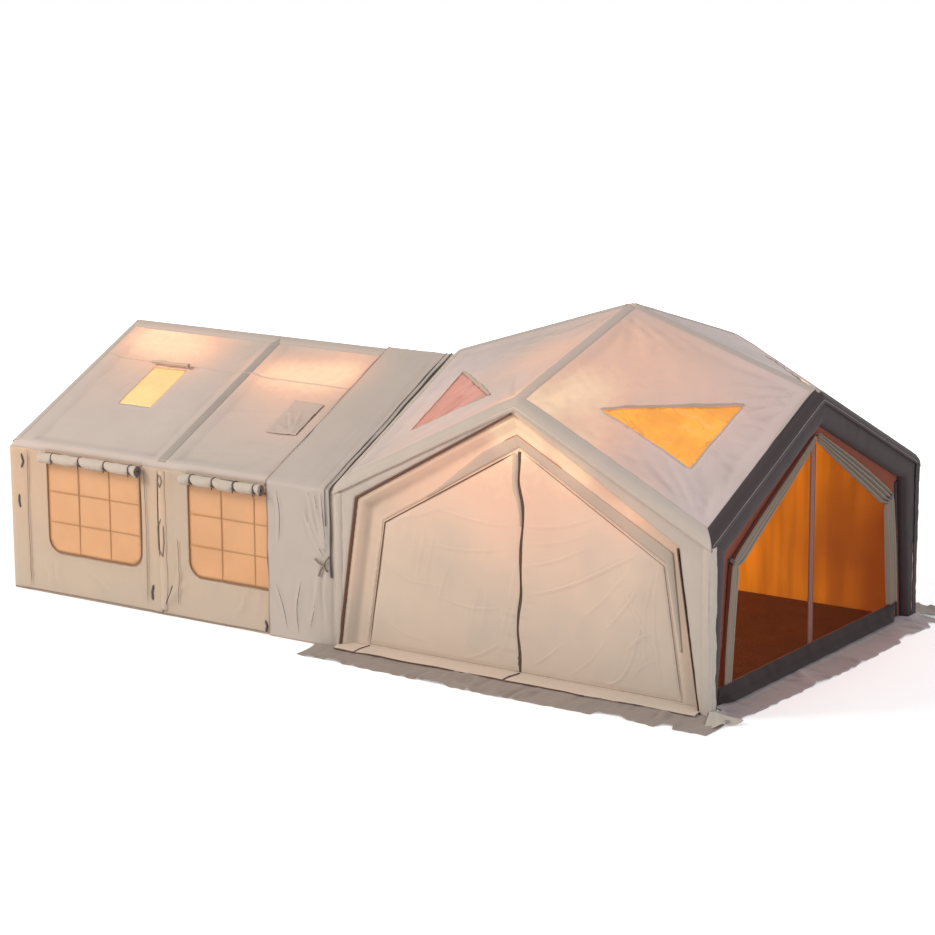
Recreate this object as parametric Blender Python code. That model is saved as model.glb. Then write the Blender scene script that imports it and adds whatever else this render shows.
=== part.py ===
"""Inflatable tent: a square hub with four gables, and a ridge-roofed annex joined to it by a sleeve.

Metres, +Z up. The ground is z = 0 and the origin is under the middle of the tent's box. The annex lies
towards -X, the hub's mesh door faces +X and its canvas door faces -Y. Shapes are written in the hub's own
frame, with the hub's middle at x = 0, and one empty carries them to their place.
"""

import math

import bmesh
import bpy
import numpy as np
from mathutils import Vector
from mathutils.geometry import tessellate_polygon

# Cloth, film and the air between pieces that touch
CANVAS = 0.004
NET = 0.002
FILM = 0.002
GAP = 0.0003
SWING_GAP = 0.0006

# Air beams
BEAM_RADIUS = 0.10
BEAM_SIDES = 24

# Hub, over its canvas
HUB_HALF = 1.90
HUB_EAVE = 1.48
FRONT_PEAK = 2.44
SIDE_PEAK = 2.39
APEX_ABOVE_FRONT_PEAK = 0.56

# Triangular skylights, measured in plan from the middle of the fold between two gable peaks
FOLD_TO_SKYLIGHT = 0.07
FOLD_TO_SKYLIGHT_TIP = 0.64
SKYLIGHT_HALF_WIDTH = 0.61

# Gable openings, measured in from the hub's sides and down from its eaves and peaks
DOOR_FOOT_IN = 0.30
DOOR_CORNER_IN = 0.48
DOOR_CORNER_DOWN = 0.27
FRONT_DOOR_DOWN = 0.42
SIDE_DOOR_DOWN = 0.37
FRONT_SILL = 0.07
SIDE_SILL = 0.18
PASSAGE_SILL = 0.10

# Zip sliders
SLIDER_WIDTH = 0.022
SLIDER_BODY = 0.030
SLIDER_PULL = 0.050
SLIDER_THICK = 0.005
SLIDER_EYE = 0.004
SLIDER_INSET = 0.004
SLIDER_REST = 0.06

# Canvas leaves tied back beside the mesh door
CURTAIN_RINGS = 23
CURTAIN_SIDES = 24
CURTAIN_FLUTES = 6
CURTAIN_FLUTE_SHARE = 0.16
CURTAIN_WIDTH = 0.20
CURTAIN_DEPTH = 0.075
CURTAIN_SAG = 0.10
CURTAIN_TIE_OUT = 0.015
CURTAIN_FOOT_IN = 0.075
CURTAIN_PEAK_IN = 0.07
CURTAIN_PEAK_DROP = 0.10
CURTAIN_ABOVE_SILL = 0.03
# Where along the curtain each share of its full width is reached: peak, swag, tie, skirt and foot
CURTAIN_PLACE_SHARES = (0.0, 0.12, 0.30, 0.48, 0.545, 0.62, 0.80, 1.0)
CURTAIN_WIDTH_SHARES = (0.25, 0.50, 0.80, 0.55, 0.40, 0.60, 0.92, 1.0)
TIE_RING = 12
TIE_WIDTH = 0.035
TIE_THICK = 0.003
TIE_SEGMENTS = 24

# Ground flaps round the hub
SKIRT_REACH = 0.42
SIDE_SKIRT_REACH = 0.32
SKIRT_RISE = 0.06
SKIRT_EDGE = 0.006
SKIRT_PAST_CORNER = 0.19

# Annex, over its canvas
HUB_TO_ANNEX = 0.16
ANNEX_LENGTH = 3.71
ANNEX_INSIDE_HUB = 0.05
ANNEX_EAVE = 1.43
ANNEX_RIDGE = 2.33

# Annex windows
WINDOW_WIDTH = 1.14
WINDOW_HEIGHT = 0.88
WINDOW_SILL = 0.42
WINDOW_CORNER = 0.14
WINDOW_CORNER_STEPS = 5
END_TO_WINDOW = 0.47
MIDDLE_TO_WINDOW = 0.33
COVER_RADIUS = 0.06
COVER_OVERLAP = 0.03
COVER_LIFT = 0.045
ROLL_POINTS = 22
ROLL_STEP_SHARE = 0.22

# Annex skylights, measured in plan down from the ridge and along from the arch behind each
OUTER_SKYLIGHT_WIDTH = 0.40
OUTER_SKYLIGHT_LENGTH = 0.54
OUTER_SKYLIGHT_DOWN = 0.59
END_TO_SKYLIGHT = 0.75
INNER_SKYLIGHT_WIDTH = 0.30
INNER_SKYLIGHT_LENGTH = 0.40
INNER_SKYLIGHT_DOWN = 0.83
MIDDLE_TO_SKYLIGHT = 0.79
SKYLIGHT_ROLL_RADIUS = 0.024
FLAP_OVERLAP = 0.03
FLAP_THICK = 0.012

# Connecting sleeve
SLEEVE_OVER_ANNEX = 0.60
SLEEVE_FLANGE = 0.13

# Inflation valves
VALVE_RADIUS = 0.025
VALVE_PROUD = 0.012
VALVE_HEIGHT = 0.35
VALVE_SEGMENTS = 32
CAP_WALL = 0.006
CAP_TOP = 0.005
CAP_RIM = 0.003
CAP_RIDGES = 16
CAP_RIDGE = 0.0012

# Places that follow from the sizes above
BEAM_LINE = HUB_HALF - BEAM_RADIUS
BEAM_INSIDE = HUB_HALF - 2 * BEAM_RADIUS - GAP
WALL_FACE = BEAM_LINE + CANVAS / 2
WALL_BACK = BEAM_LINE - CANVAS / 2
APEX = FRONT_PEAK + APEX_ABOVE_FRONT_PEAK
DOOR_FOOT_HALF = HUB_HALF - DOOR_FOOT_IN
DOOR_CORNER_HALF = HUB_HALF - DOOR_CORNER_IN
DOOR_CORNER = HUB_EAVE - DOOR_CORNER_DOWN
FRONT_DOOR_PEAK = FRONT_PEAK - FRONT_DOOR_DOWN
SIDE_DOOR_PEAK = SIDE_PEAK - SIDE_DOOR_DOWN
ANNEX_HALF = HUB_HALF - ANNEX_INSIDE_HUB
ANNEX_INNER = -HUB_HALF - HUB_TO_ANNEX
ANNEX_OUTER = ANNEX_INNER - ANNEX_LENGTH
ANNEX_WALL_BACK = ANNEX_HALF - CANVAS - GAP
ANNEX_BEAM_LINE = ANNEX_WALL_BACK - BEAM_RADIUS
END_ARCH = ANNEX_OUTER + CANVAS + GAP + BEAM_RADIUS
INNER_ARCH = ANNEX_INNER - BEAM_RADIUS
MIDDLE_ARCH = (ANNEX_OUTER + ANNEX_INNER) / 2
SLEEVE_START = ANNEX_INNER - SLEEVE_OVER_ANNEX
SLEEVE_END = -HUB_HALF - GAP
HUB_X = (HUB_TO_ANNEX + ANNEX_LENGTH - SIDE_SKIRT_REACH) / 2

QUARTERS = {"front_right": (1, -1), "front_left": (-1, -1), "back_right": (1, 1), "back_left": (-1, 1)}

# Finishes: sRGB hex, roughness, metallic
FINISHES = {
    "beam_sleeve_canvas": ("C6BAAC", 0.85, 0),
    "roof_canvas": ("CBBAAD", 0.85, 0),
    "wall_canvas": ("D2B79E", 0.85, 0),
    "door_canvas": ("D9BBA5", 0.85, 0),
    "dark_canvas": ("5E5658", 0.85, 0),
    "sill_canvas": ("7A5A54", 0.85, 0),
    "skirt_canvas": ("9E928B", 0.85, 0),
    "dark_skirt_canvas": ("85807F", 0.85, 0),
    "insect_net": ("8A5A40", 0.90, 0),
    "window_film": ("E3AE80", 0.35, 0),
    "amber_film": ("FCAE4D", 0.30, 0),
    "groundsheet": ("54342A", 0.70, 0),
    "tie_webbing": ("6B625E", 0.80, 0),
    "valve_plastic": ("3A3A3C", 0.45, 0),
    "zip_metal": ("6E6C6A", 0.35, 1),
}


# Small tools


def clear_scene():
    for item in list(bpy.data.objects):
        bpy.data.objects.remove(item, do_unlink=True)


def linear(hex_colour):
    """An sRGB hex colour as linear RGB."""
    channels = [int(hex_colour[i : i + 2], 16) / 255 for i in (0, 2, 4)]
    return [c / 12.92 if c <= 0.04045 else ((c + 0.055) / 1.055) ** 2.4 for c in channels]


def finish(name):
    found = bpy.data.materials.get(name)
    if found:
        return found
    colour, roughness, metallic = FINISHES[name]
    made = bpy.data.materials.new(name)
    made.use_nodes = True
    shader = made.node_tree.nodes["Principled BSDF"]
    shader.inputs["Base Color"].default_value = (*linear(colour), 1)
    shader.inputs["Roughness"].default_value = roughness
    shader.inputs["Metallic"].default_value = metallic
    return made


def keep(name, shape, finish_name, origin=(0, 0, 0), smooth=False):
    """Turns a bmesh in hub coordinates into a named piece whose origin is at the given point."""
    bmesh.ops.recalc_face_normals(shape, faces=shape.faces)
    bmesh.ops.translate(shape, verts=shape.verts, vec=-Vector(origin))
    mesh = bpy.data.meshes.new(name)
    shape.to_mesh(mesh)
    shape.free()
    mesh.materials.append(finish(finish_name))
    if smooth:
        mesh.shade_smooth()
        mesh.set_sharp_from_angle(angle=math.radians(35))
    piece = bpy.data.objects.new(name, mesh)
    piece.location = origin
    piece.parent = bpy.data.objects["tent"]
    bpy.context.scene.collection.objects.link(piece)
    return piece


def loft(rings, closed=False):
    """A skin over rings of equally many points, capped at both ends or closed into a loop."""
    shape = bmesh.new()
    rows = [[shape.verts.new(point) for point in ring] for ring in rings]
    pairs = list(zip(rows, rows[1:])) + ([(rows[-1], rows[0])] if closed else [])
    for first, second in pairs:
        for i in range(len(first)):
            j = (i + 1) % len(first)
            shape.faces.new((first[i], first[j], second[j], second[i]))
    if not closed:
        shape.faces.new(rows[0][::-1])
        shape.faces.new(rows[-1])
    return shape


def filled(outline, holes=()):
    """Triangles, as point indices, that fill an outline in a plane round its holes."""
    loops = [[Vector((u, v, 0)) for u, v in loop] for loop in (outline, *holes)]
    return tessellate_polygon(loops), [point for loop in (outline, *holes) for point in loop]


def thicken(shape, move):
    """Gives an open sheet its other side, each point moved by move(point)."""
    grown = bmesh.ops.extrude_face_region(shape, geom=shape.faces[:])
    for item in grown["geom"]:
        if isinstance(item, bmesh.types.BMVert):
            item.co = move(item.co)
    return shape


def panel(outline, holes, put, move):
    """A flat sheet: its outline and holes are put in space by put(u, v), and its thickness by move."""
    shape = bmesh.new()
    triangles, points = filled(outline, holes)
    corners = [shape.verts.new(put(u, v)) for u, v in points]
    for triangle in triangles:
        shape.faces.new([corners[i] for i in triangle])
    return thicken(shape, move)


def across_y(outline, start, end, holes=()):
    """An outline in x and z, extruded along Y."""
    return panel(outline, holes, lambda u, v: (u, start, v), lambda p: Vector((p.x, end, p.z)))


def across_x(outline, start, end, holes=()):
    """An outline in y and z, extruded along X."""
    return panel(outline, holes, lambda u, v: (start, u, v), lambda p: Vector((end, p.y, p.z)))


def across_z(outline, start, end):
    """An outline in x and y, extruded along Z."""
    return panel(outline, (), lambda u, v: (u, v, start), lambda p: Vector((p.x, p.y, end)))


def inset(outline, distances):
    """The outline, anticlockwise, with each edge moved in by its own distance."""
    count = len(outline)
    lines = []
    for i in range(count):
        (u0, v0), (u1, v1) = outline[i], outline[(i + 1) % count]
        long = math.hypot(u1 - u0, v1 - v0)
        normal = ((v0 - v1) / long, (u1 - u0) / long)
        lines.append((normal, normal[0] * u0 + normal[1] * v0 + distances[i]))
    moved = []
    for i in range(count):
        (n0, c0), (n1, c1) = lines[i - 1], lines[i]
        moved.append(tuple(np.linalg.solve([n0, n1], [c0, c1])))
    return moved


def between(start, end, axis, value):
    """The point of a straight line that has this value on an axis."""
    share = (value - start[axis]) / (end[axis] - start[axis])
    return start.lerp(end, share)


# Roof slopes


def slope_through(a, b, c):
    """The plane z = level + east * x + north * y through three points."""
    rows = [[1, point[0], point[1]] for point in (a, b, c)]
    return tuple(np.linalg.solve(rows, [point[2] for point in (a, b, c)]))


def height(slope, x, y):
    return slope[0] + slope[1] * x + slope[2] * y


def steepness(slope, pitch=(0, 0)):
    """A distance straight down over the same distance square to the slope, or to a steeper pitch."""
    return math.sqrt(1 + max(abs(slope[1]), pitch[0]) ** 2 + max(abs(slope[2]), pitch[1]) ** 2)


def hub_slopes(east, north):
    """The upper and the lower slope of one quarter of the hub's roof."""
    apex = (0, 0, APEX)
    front = (0, north * HUB_HALF, FRONT_PEAK)
    side = (east * HUB_HALF, 0, SIDE_PEAK)
    corner = (east * HUB_HALF, north * HUB_HALF, HUB_EAVE)
    return slope_through(apex, front, side), slope_through(corner, front, side)


def annex_slope(north):
    ridge, past_ridge = (0, 0, ANNEX_RIDGE), (ANNEX_LENGTH, 0, ANNEX_RIDGE)
    return slope_through(ridge, past_ridge, (0, north * ANNEX_HALF, ANNEX_EAVE))


HUB_ROOF = [slope for signs in QUARTERS.values() for slope in hub_slopes(*signs)]
ANNEX_ROOF = [annex_slope(-1), annex_slope(1)]


def beam_point(roof, x, y, pitch=(0, 0)):
    """The highest middle that a beam can have at x, y under the canvas of a roof.

    Where the beam is mitred over a peak, pitch is how steeply it leaves along X and Y.
    """
    room = BEAM_RADIUS + GAP
    return Vector((x, y, min(height(s, x, y) - CANVAS - room * steepness(s, pitch) for s in roof)))


def gable_peak(x, y):
    """The middle of the mitre at a hub gable's peak, whose rafters lie along the lower slopes."""
    _, lower = hub_slopes(1, 1)
    return beam_point(HUB_ROOF, x, y, (abs(lower[1]), 0) if x == 0 else (0, abs(lower[2])))


def roof_sheet(regions, thick):
    """Canvas over regions of the plan, each an outline, its holes and the slope that it lies on."""
    shape = bmesh.new()
    for outline, holes, slope in regions:
        triangles, points = filled(outline, holes)
        corners = [shape.verts.new((x, y, height(slope, x, y))) for x, y in points]
        for triangle in triangles:
            shape.faces.new([corners[i] for i in triangle])
    bmesh.ops.remove_doubles(shape, verts=shape.verts, dist=GAP / 10)
    return thicken(shape, lambda p: Vector((p.x, p.y, p.z - thick)))


# Air beams


def tube(nodes, first_cut=None, last_cut=None):
    """A mitred tube along straight runs. Each end is square, or lies in a plane with the given normal."""
    runs = [(b - a).normalized() for a, b in zip(nodes, nodes[1:])]
    cuts = [first_cut or runs[0]]
    cuts += [(a + b).normalized() for a, b in zip(runs, runs[1:])]
    cuts += [last_cut or runs[-1]]
    side = runs[0].cross(runs[1] if len(runs) > 1 else Vector((0, 0, 1))).normalized()
    up = runs[0].cross(side)
    turns = [2 * math.pi * i / BEAM_SIDES for i in range(BEAM_SIDES)]
    ring = [nodes[0] + BEAM_RADIUS * (math.cos(t) * side + math.sin(t) * up) for t in turns]
    rings = []
    for i, (node, cut) in enumerate(zip(nodes, cuts)):
        run = runs[max(i - 1, 0)]
        ring = [point + run * ((node - point).dot(cut) / run.dot(cut)) for point in ring]
        rings.append(ring)
    return loft(rings)


def hub_arch(north):
    """The front or back arch: post, two rafters and post, in one bent tube."""
    line = north * BEAM_LINE
    left, right = (beam_point(HUB_ROOF, x, line) for x in (-BEAM_LINE, BEAM_LINE))
    feet = [Vector((x, line, 0)) for x in (-BEAM_LINE, BEAM_LINE)]
    return [feet[0], left, gable_peak(0, line), right, feet[1]]


def side_rafters(east):
    """The pair of rafters of a side gable, which end on the front and back arches."""
    line = east * BEAM_LINE
    peak = gable_peak(line, 0)
    front, back = (beam_point(HUB_ROOF, line, y) for y in (-BEAM_LINE, BEAM_LINE))
    return [between(front, peak, 1, -BEAM_INSIDE), peak, between(peak, back, 1, BEAM_INSIDE)]


def make_hub_frame():
    for name, north in (("hub_front_arch", -1), ("hub_back_arch", 1)):
        keep(name, tube(hub_arch(north)), "beam_sleeve_canvas", smooth=True)
    north_cut, east_cut = Vector((0, 1, 0)), Vector((1, 0, 0))
    for name, east, cloth in (
        ("hub_left_rafters", -1, "beam_sleeve_canvas"),
        ("hub_right_rafters", 1, "dark_canvas"),
    ):
        keep(name, tube(side_rafters(east), north_cut, north_cut), cloth, smooth=True)
    apex = beam_point(HUB_ROOF, 0, 0)
    west_end, east_end = (
        between(apex, beam_point(HUB_ROOF, east * BEAM_LINE, 0), 0, east * BEAM_INSIDE) for east in (-1, 1)
    )
    ridge = tube([west_end, apex, east_end], east_cut, east_cut)
    keep("hub_ridge_beam", ridge, "beam_sleeve_canvas", smooth=True)
    for name, north in (("hub_front_ridge_beam", -1), ("hub_back_ridge_beam", 1)):
        low = beam_point(HUB_ROOF, 0, north * BEAM_LINE)
        foot, top = (between(apex, low, 1, north * y) for y in (BEAM_INSIDE, BEAM_RADIUS + GAP))
        keep(name, tube([foot, top], north_cut, north_cut), "beam_sleeve_canvas", smooth=True)


def annex_arch(x):
    line = ANNEX_BEAM_LINE
    front, peak, back = (beam_point(ANNEX_ROOF, x, y) for y in (-line, 0, line))
    return [Vector((x, -line, 0)), front, peak, back, Vector((x, line, 0))]


def make_annex_frame():
    for name, x in (("end", END_ARCH), ("middle", MIDDLE_ARCH), ("inner", INNER_ARCH)):
        keep("annex_%s_arch" % name, tube(annex_arch(x)), "beam_sleeve_canvas", smooth=True)
    past = BEAM_RADIUS + GAP
    for name, start, end in (
        ("annex_outer_ridge_beam", END_ARCH, MIDDLE_ARCH),
        ("annex_inner_ridge_beam", MIDDLE_ARCH, INNER_ARCH),
    ):
        run = [beam_point(ANNEX_ROOF, start + past, 0), beam_point(ANNEX_ROOF, end - past, 0)]
        keep(name, tube(run), "beam_sleeve_canvas", smooth=True)


# Hub roof and skylights


def skylight_outline(east, north):
    """The triangle of one quarter's skylight, in plan."""
    middle, out = Vector((east, north)) * HUB_HALF / 2, Vector((east, north)).normalized()
    along = Vector((-out.y, out.x))
    top = middle + out * FOLD_TO_SKYLIGHT
    corners = [top - along * SKYLIGHT_HALF_WIDTH, middle + out * FOLD_TO_SKYLIGHT_TIP]
    corners.append(top + along * SKYLIGHT_HALF_WIDTH)
    return [tuple(corner) for corner in corners]


def make_hub_roof():
    near, far = GAP / 2, HUB_HALF
    for quarter, (east, north) in QUARTERS.items():
        upper, lower = hub_slopes(east, north)
        hole = skylight_outline(east, north)
        top, corner = (east * near, north * near), (east * far, north * far)
        front, side = (east * near, north * far), (east * far, north * near)
        fold_front, fold_side = (east * near, north * (far - near)), (east * (far - near), north * near)
        above = [top, fold_front, fold_side]
        below = [fold_front, front, corner, side, fold_side]
        shape = roof_sheet([(above, (), upper), (below, (hole,), lower)], CANVAS)
        keep("hub_roof_" + quarter, shape, "roof_canvas")
        pane = inset(hole, [GAP] * len(hole))
        lowered = (lower[0] - (CANVAS - FILM) / 2, *lower[1:])
        keep("hub_skylight_" + quarter, roof_sheet([(pane, (), lowered)], FILM), "amber_film")


# Hub walls and doors


def gable_outline(peak):
    """A gable's wall, inside the beams round it."""
    eave, top = beam_point(HUB_ROOF, BEAM_LINE, BEAM_LINE).z, peak.z
    axes = [(-BEAM_LINE, 0), (BEAM_LINE, 0), (BEAM_LINE, eave), (0, top), (-BEAM_LINE, eave)]
    return inset(axes, [0] + [BEAM_RADIUS + GAP] * 4)


def door_outline(sill, peak):
    return [
        (-DOOR_FOOT_HALF, sill),
        (DOOR_FOOT_HALF, sill),
        (DOOR_CORNER_HALF, DOOR_CORNER),
        (0, peak),
        (-DOOR_CORNER_HALF, DOOR_CORNER),
    ]


def leaf_outline(opening, side):
    """One door leaf: the half of the opening on the side 1 or -1, anticlockwise."""
    _, foot, corner, peak, _ = inset(opening, [SWING_GAP] * len(opening))
    middle = SWING_GAP / 2
    top = peak[1] - (peak[1] - corner[1]) * middle / corner[0]
    half = [(middle, foot[1]), foot, corner, (middle, top)]
    return half if side > 0 else [(-u, v) for u, v in reversed(half)]


def make_hub_walls():
    front, side = gable_outline(gable_peak(0, BEAM_LINE)), gable_outline(gable_peak(BEAM_LINE, 0))
    door, mesh_door = door_outline(FRONT_SILL, FRONT_DOOR_PEAK), door_outline(SIDE_SILL, SIDE_DOOR_PEAK)
    passage = door_outline(PASSAGE_SILL, SIDE_DOOR_PEAK)
    keep("hub_front_wall", across_y(front, -WALL_FACE, -WALL_BACK, (door,)), "wall_canvas")
    keep("hub_back_wall", across_y(front, WALL_BACK, WALL_FACE), "door_canvas")
    keep("hub_left_wall", across_x(side, -WALL_FACE, -WALL_BACK, (passage,)), "wall_canvas")
    keep("hub_right_wall", across_x(side, WALL_BACK, WALL_FACE, (mesh_door,)), "sill_canvas")


def make_front_door():
    for name, side in (("front_door_left", -1), ("front_door_right", 1)):
        leaf = leaf_outline(door_outline(FRONT_SILL, FRONT_DOOR_PEAK), side)
        hinge_foot = min(leaf, key=lambda p: (-abs(p[0]), p[1]))
        origin = (hinge_foot[0], -WALL_FACE, hinge_foot[1])
        keep(name, across_y(leaf, -WALL_FACE, -WALL_BACK), "door_canvas", origin)


def make_mesh_door():
    back, front = BEAM_LINE - NET / 2, BEAM_LINE + NET / 2
    for name, side in (("mesh_door_front", -1), ("mesh_door_back", 1)):
        leaf = leaf_outline(door_outline(SIDE_SILL, SIDE_DOOR_PEAK), side)
        hinge_foot = min(leaf, key=lambda p: (-abs(p[0]), p[1]))
        origin = (back, hinge_foot[0], hinge_foot[1])
        keep(name, across_x(leaf, back, front), "insect_net", origin)


def slider_outline(sill):
    """A zip slider with its pull hanging from it, beside the middle of a door, and the pull's eye."""
    right = -SLIDER_INSET
    left, middle = right - SLIDER_WIDTH, right - SLIDER_WIDTH / 2
    foot = sill + SLIDER_REST
    neck, top = foot + SLIDER_PULL, foot + SLIDER_PULL + SLIDER_BODY
    thin = SLIDER_WIDTH / 5
    outline = [
        (middle - thin, foot),
        (middle + thin, foot),
        (middle + 2 * thin, foot + thin),
        (middle + thin, neck),
        (right, neck + thin),
        (right, top - thin),
        (right - thin, top),
        (left + thin, top),
        (left, top - thin),
        (left, neck + thin),
        (middle - thin, neck),
        (middle - 2 * thin, foot + thin),
    ]
    eye_middle = foot + 2 * thin
    radius, turns = SLIDER_EYE / 2, [-2 * math.pi * i / 12 for i in range(12)]
    eye = [(middle + radius * math.cos(t), eye_middle + radius * math.sin(t)) for t in turns]
    return outline, eye


def make_sliders():
    outline, eye = slider_outline(FRONT_SILL)
    front = -WALL_FACE - GAP
    foot = (outline[0][0], front, outline[0][1])
    keep("front_zip_slider", across_y(outline, front - SLIDER_THICK, front, (eye,)), "zip_metal", foot)
    outline, eye = slider_outline(SIDE_SILL)
    face = BEAM_LINE + NET / 2 + GAP
    foot = (face, outline[0][0], outline[0][1])
    keep("mesh_zip_slider", across_x(outline, face, face + SLIDER_THICK, (eye,)), "zip_metal", foot)


# Canvas leaves tied back beside the mesh door


def curtain_route(side):
    """The gathered leaf's middle line in y and z: from the peak down to the tie, then to the sill."""
    peak = Vector((side * CURTAIN_PEAK_IN, SIDE_DOOR_PEAK - CURTAIN_PEAK_DROP))
    tie = Vector((side * (DOOR_CORNER_HALF + CURTAIN_TIE_OUT), DOOR_CORNER))
    foot = Vector((side * (DOOR_FOOT_HALF - CURTAIN_FOOT_IN), SIDE_SILL + CURTAIN_ABOVE_SILL))
    points = []
    for i in range(TIE_RING):
        share = i / TIE_RING
        sag = Vector((0, CURTAIN_SAG * math.sin(math.pi * share)))
        points.append(peak.lerp(tie, share) - sag)
    hanging = CURTAIN_RINGS - 1 - TIE_RING
    return points + [tie.lerp(foot, i / hanging) for i in range(hanging + 1)]


def curtain_spread(share):
    return float(np.interp(share, CURTAIN_PLACE_SHARES, CURTAIN_WIDTH_SHARES))


def curtain_ring(point, run, share, side):
    """One fluted section, flat where it lies against the gable's wall."""
    spread = curtain_spread(share)
    half_width, half_depth = CURTAIN_WIDTH * spread / 2, CURTAIN_DEPTH * math.sqrt(spread) / 2
    back = WALL_FACE + 2 * GAP + TIE_THICK
    middle = back + half_depth
    across = Vector((-run.y, run.x))
    ring = []
    for i in range(CURTAIN_SIDES):
        turn = 2 * math.pi * i / CURTAIN_SIDES
        wave = math.cos(CURTAIN_FLUTES * turn + side * math.pi / 3)
        flute = 1 - CURTAIN_FLUTE_SHARE * (1 - wave)
        place = point + across * (half_width * flute * math.cos(turn))
        x = middle + half_depth * flute * math.sin(turn)
        ring.append((max(x, back), place.x, place.y))
    return ring


def tie_ring(side):
    """The strap's loop round a curtain's waist: a flat band with its back on the gable's wall."""
    route = curtain_route(side)
    run = (route[TIE_RING + 1] - route[TIE_RING - 1]).normalized()
    spread = curtain_spread(TIE_RING / (CURTAIN_RINGS - 1))
    shape = (CURTAIN_WIDTH * spread / 2 + GAP, CURTAIN_DEPTH * math.sqrt(spread) / 2 + GAP)
    middle = WALL_FACE + 2 * GAP + TIE_THICK + CURTAIN_DEPTH * math.sqrt(spread) / 2
    back = WALL_FACE + GAP
    across = Vector((-run.y, run.x))
    rings = []
    for i in range(TIE_SEGMENTS):
        turn = 2 * math.pi * i / TIE_SEGMENTS
        ring = []
        for grow, shift in ((0, -1), (0, 1), (1, 1), (1, -1)):
            wide = (shape[0] + grow * TIE_THICK) * math.cos(turn)
            deep = middle + (shape[1] + grow * TIE_THICK) * math.sin(turn)
            place = route[TIE_RING] + across * wide + run * (shift * TIE_WIDTH / 2)
            ring.append((max(deep, back if grow else back + TIE_THICK), place.x, place.y))
        rings.append(ring)
    return rings


def make_curtains():
    for name, side in (("front", -1), ("back", 1)):
        route = curtain_route(side)
        rings = []
        for i, point in enumerate(route):
            ahead, behind = route[min(i + 1, len(route) - 1)], route[max(i - 1, 0)]
            run, share = (ahead - behind).normalized(), i / (len(route) - 1)
            # The waist runs straight under the tie, so that the strap fits it all along
            steps = (-TIE_WIDTH, 0, TIE_WIDTH) if i == TIE_RING else (0,)
            rings += [curtain_ring(point + run * step, run, share, side) for step in steps]
        keep("curtain_" + name, loft(rings), "dark_canvas", smooth=True)
        keep("curtain_tie_" + name, loft(tie_ring(side), closed=True), "tie_webbing")


# Ground flaps and groundsheets


def ground_flap(outline, rise):
    """A flap on the ground: its top follows rise(x, y) and its underside is flat."""
    return panel(outline, (), lambda u, v: (u, v, rise(u, v)), lambda p: Vector((p.x, p.y, 0)))


def flap_outline(reach, half):
    """A flap's plan along a gable: out from the wall's face between the posts, and past them outside."""
    inner, post = WALL_FACE + GAP, BEAM_INSIDE
    outside, edge = HUB_HALF + GAP, HUB_HALF + reach
    return [
        (-half, edge), (-half, outside), (-post, outside), (-post, inner),
        (post, inner), (post, outside), (half, outside), (half, edge),
    ]


def make_skirts():
    def rise(reach, out):
        share = (out - WALL_FACE) / (HUB_HALF + reach - WALL_FACE)
        return SKIRT_RISE + (SKIRT_EDGE - SKIRT_RISE) * share

    long = flap_outline(SKIRT_REACH, HUB_HALF + SKIRT_PAST_CORNER)
    for name, north in (("skirt_front", -1), ("skirt_back", 1)):
        outline = [(u, north * v) for u, v in long]
        keep(name, ground_flap(outline, lambda x, y: rise(SKIRT_REACH, abs(y))), "skirt_canvas")
    short = [(v, u) for u, v in flap_outline(SIDE_SKIRT_REACH, HUB_HALF)]
    flap = ground_flap(short, lambda x, y: rise(SIDE_SKIRT_REACH, x))
    keep("skirt_right", flap, "dark_skirt_canvas")


def make_groundsheets():
    edge, notch = WALL_BACK - GAP, BEAM_INSIDE
    quarter = [(notch, -edge), (notch, -notch), (edge, -notch)]
    outline = []
    for turn in range(4):
        outline += quarter
        quarter = [(-v, u) for u, v in quarter]
    keep("hub_groundsheet", across_z(outline, 0, CANVAS), "groundsheet")
    half, inside = ANNEX_WALL_BACK, ANNEX_BEAM_LINE - BEAM_RADIUS - GAP
    side = [(ANNEX_OUTER + CANVAS + GAP, half)]
    for arch in (END_ARCH, MIDDLE_ARCH, INNER_ARCH):
        start, end = arch - BEAM_RADIUS - GAP, arch + BEAM_RADIUS + GAP
        side += [(start, half), (start, inside), (end, inside), (end, half)]
    side = side[2:-1]
    outline = [(x, -y) for x, y in side] + side[::-1]
    keep("annex_groundsheet", across_z(outline, 0, CANVAS), "groundsheet")


# Annex roof, walls, windows and skylights


def box_outline(left, right, low, high):
    return [(left, low), (right, low), (right, high), (left, high)]


def annex_skylights():
    """Both skylights of the annex's front slope, in plan."""
    outer_left = ANNEX_OUTER + END_TO_SKYLIGHT
    inner_left = MIDDLE_ARCH + MIDDLE_TO_SKYLIGHT
    return {
        "outer": box_outline(
            outer_left,
            outer_left + OUTER_SKYLIGHT_WIDTH,
            -OUTER_SKYLIGHT_DOWN - OUTER_SKYLIGHT_LENGTH,
            -OUTER_SKYLIGHT_DOWN,
        ),
        "inner": box_outline(
            inner_left,
            inner_left + INNER_SKYLIGHT_WIDTH,
            -INNER_SKYLIGHT_DOWN - INNER_SKYLIGHT_LENGTH,
            -INNER_SKYLIGHT_DOWN,
        ),
    }


def make_annex_roof():
    lights = annex_skylights()
    for name, north, holes in (("front", -1, lights.values()), ("back", 1, ())):
        low, high = sorted((north * ANNEX_HALF, north * GAP / 2))
        outline = box_outline(ANNEX_OUTER, ANNEX_INNER, low, high)
        shape = roof_sheet([(outline, tuple(holes), annex_slope(north))], CANVAS)
        keep("annex_roof_" + name, shape, "roof_canvas")
    slope = annex_slope(-1)
    lowered = (slope[0] - (CANVAS - FILM) / 2, *slope[1:])
    for name, hole in lights.items():
        pane = inset(hole, [GAP] * len(hole))
        keep("annex_skylight_" + name, roof_sheet([(pane, (), lowered)], FILM), "amber_film")


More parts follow.
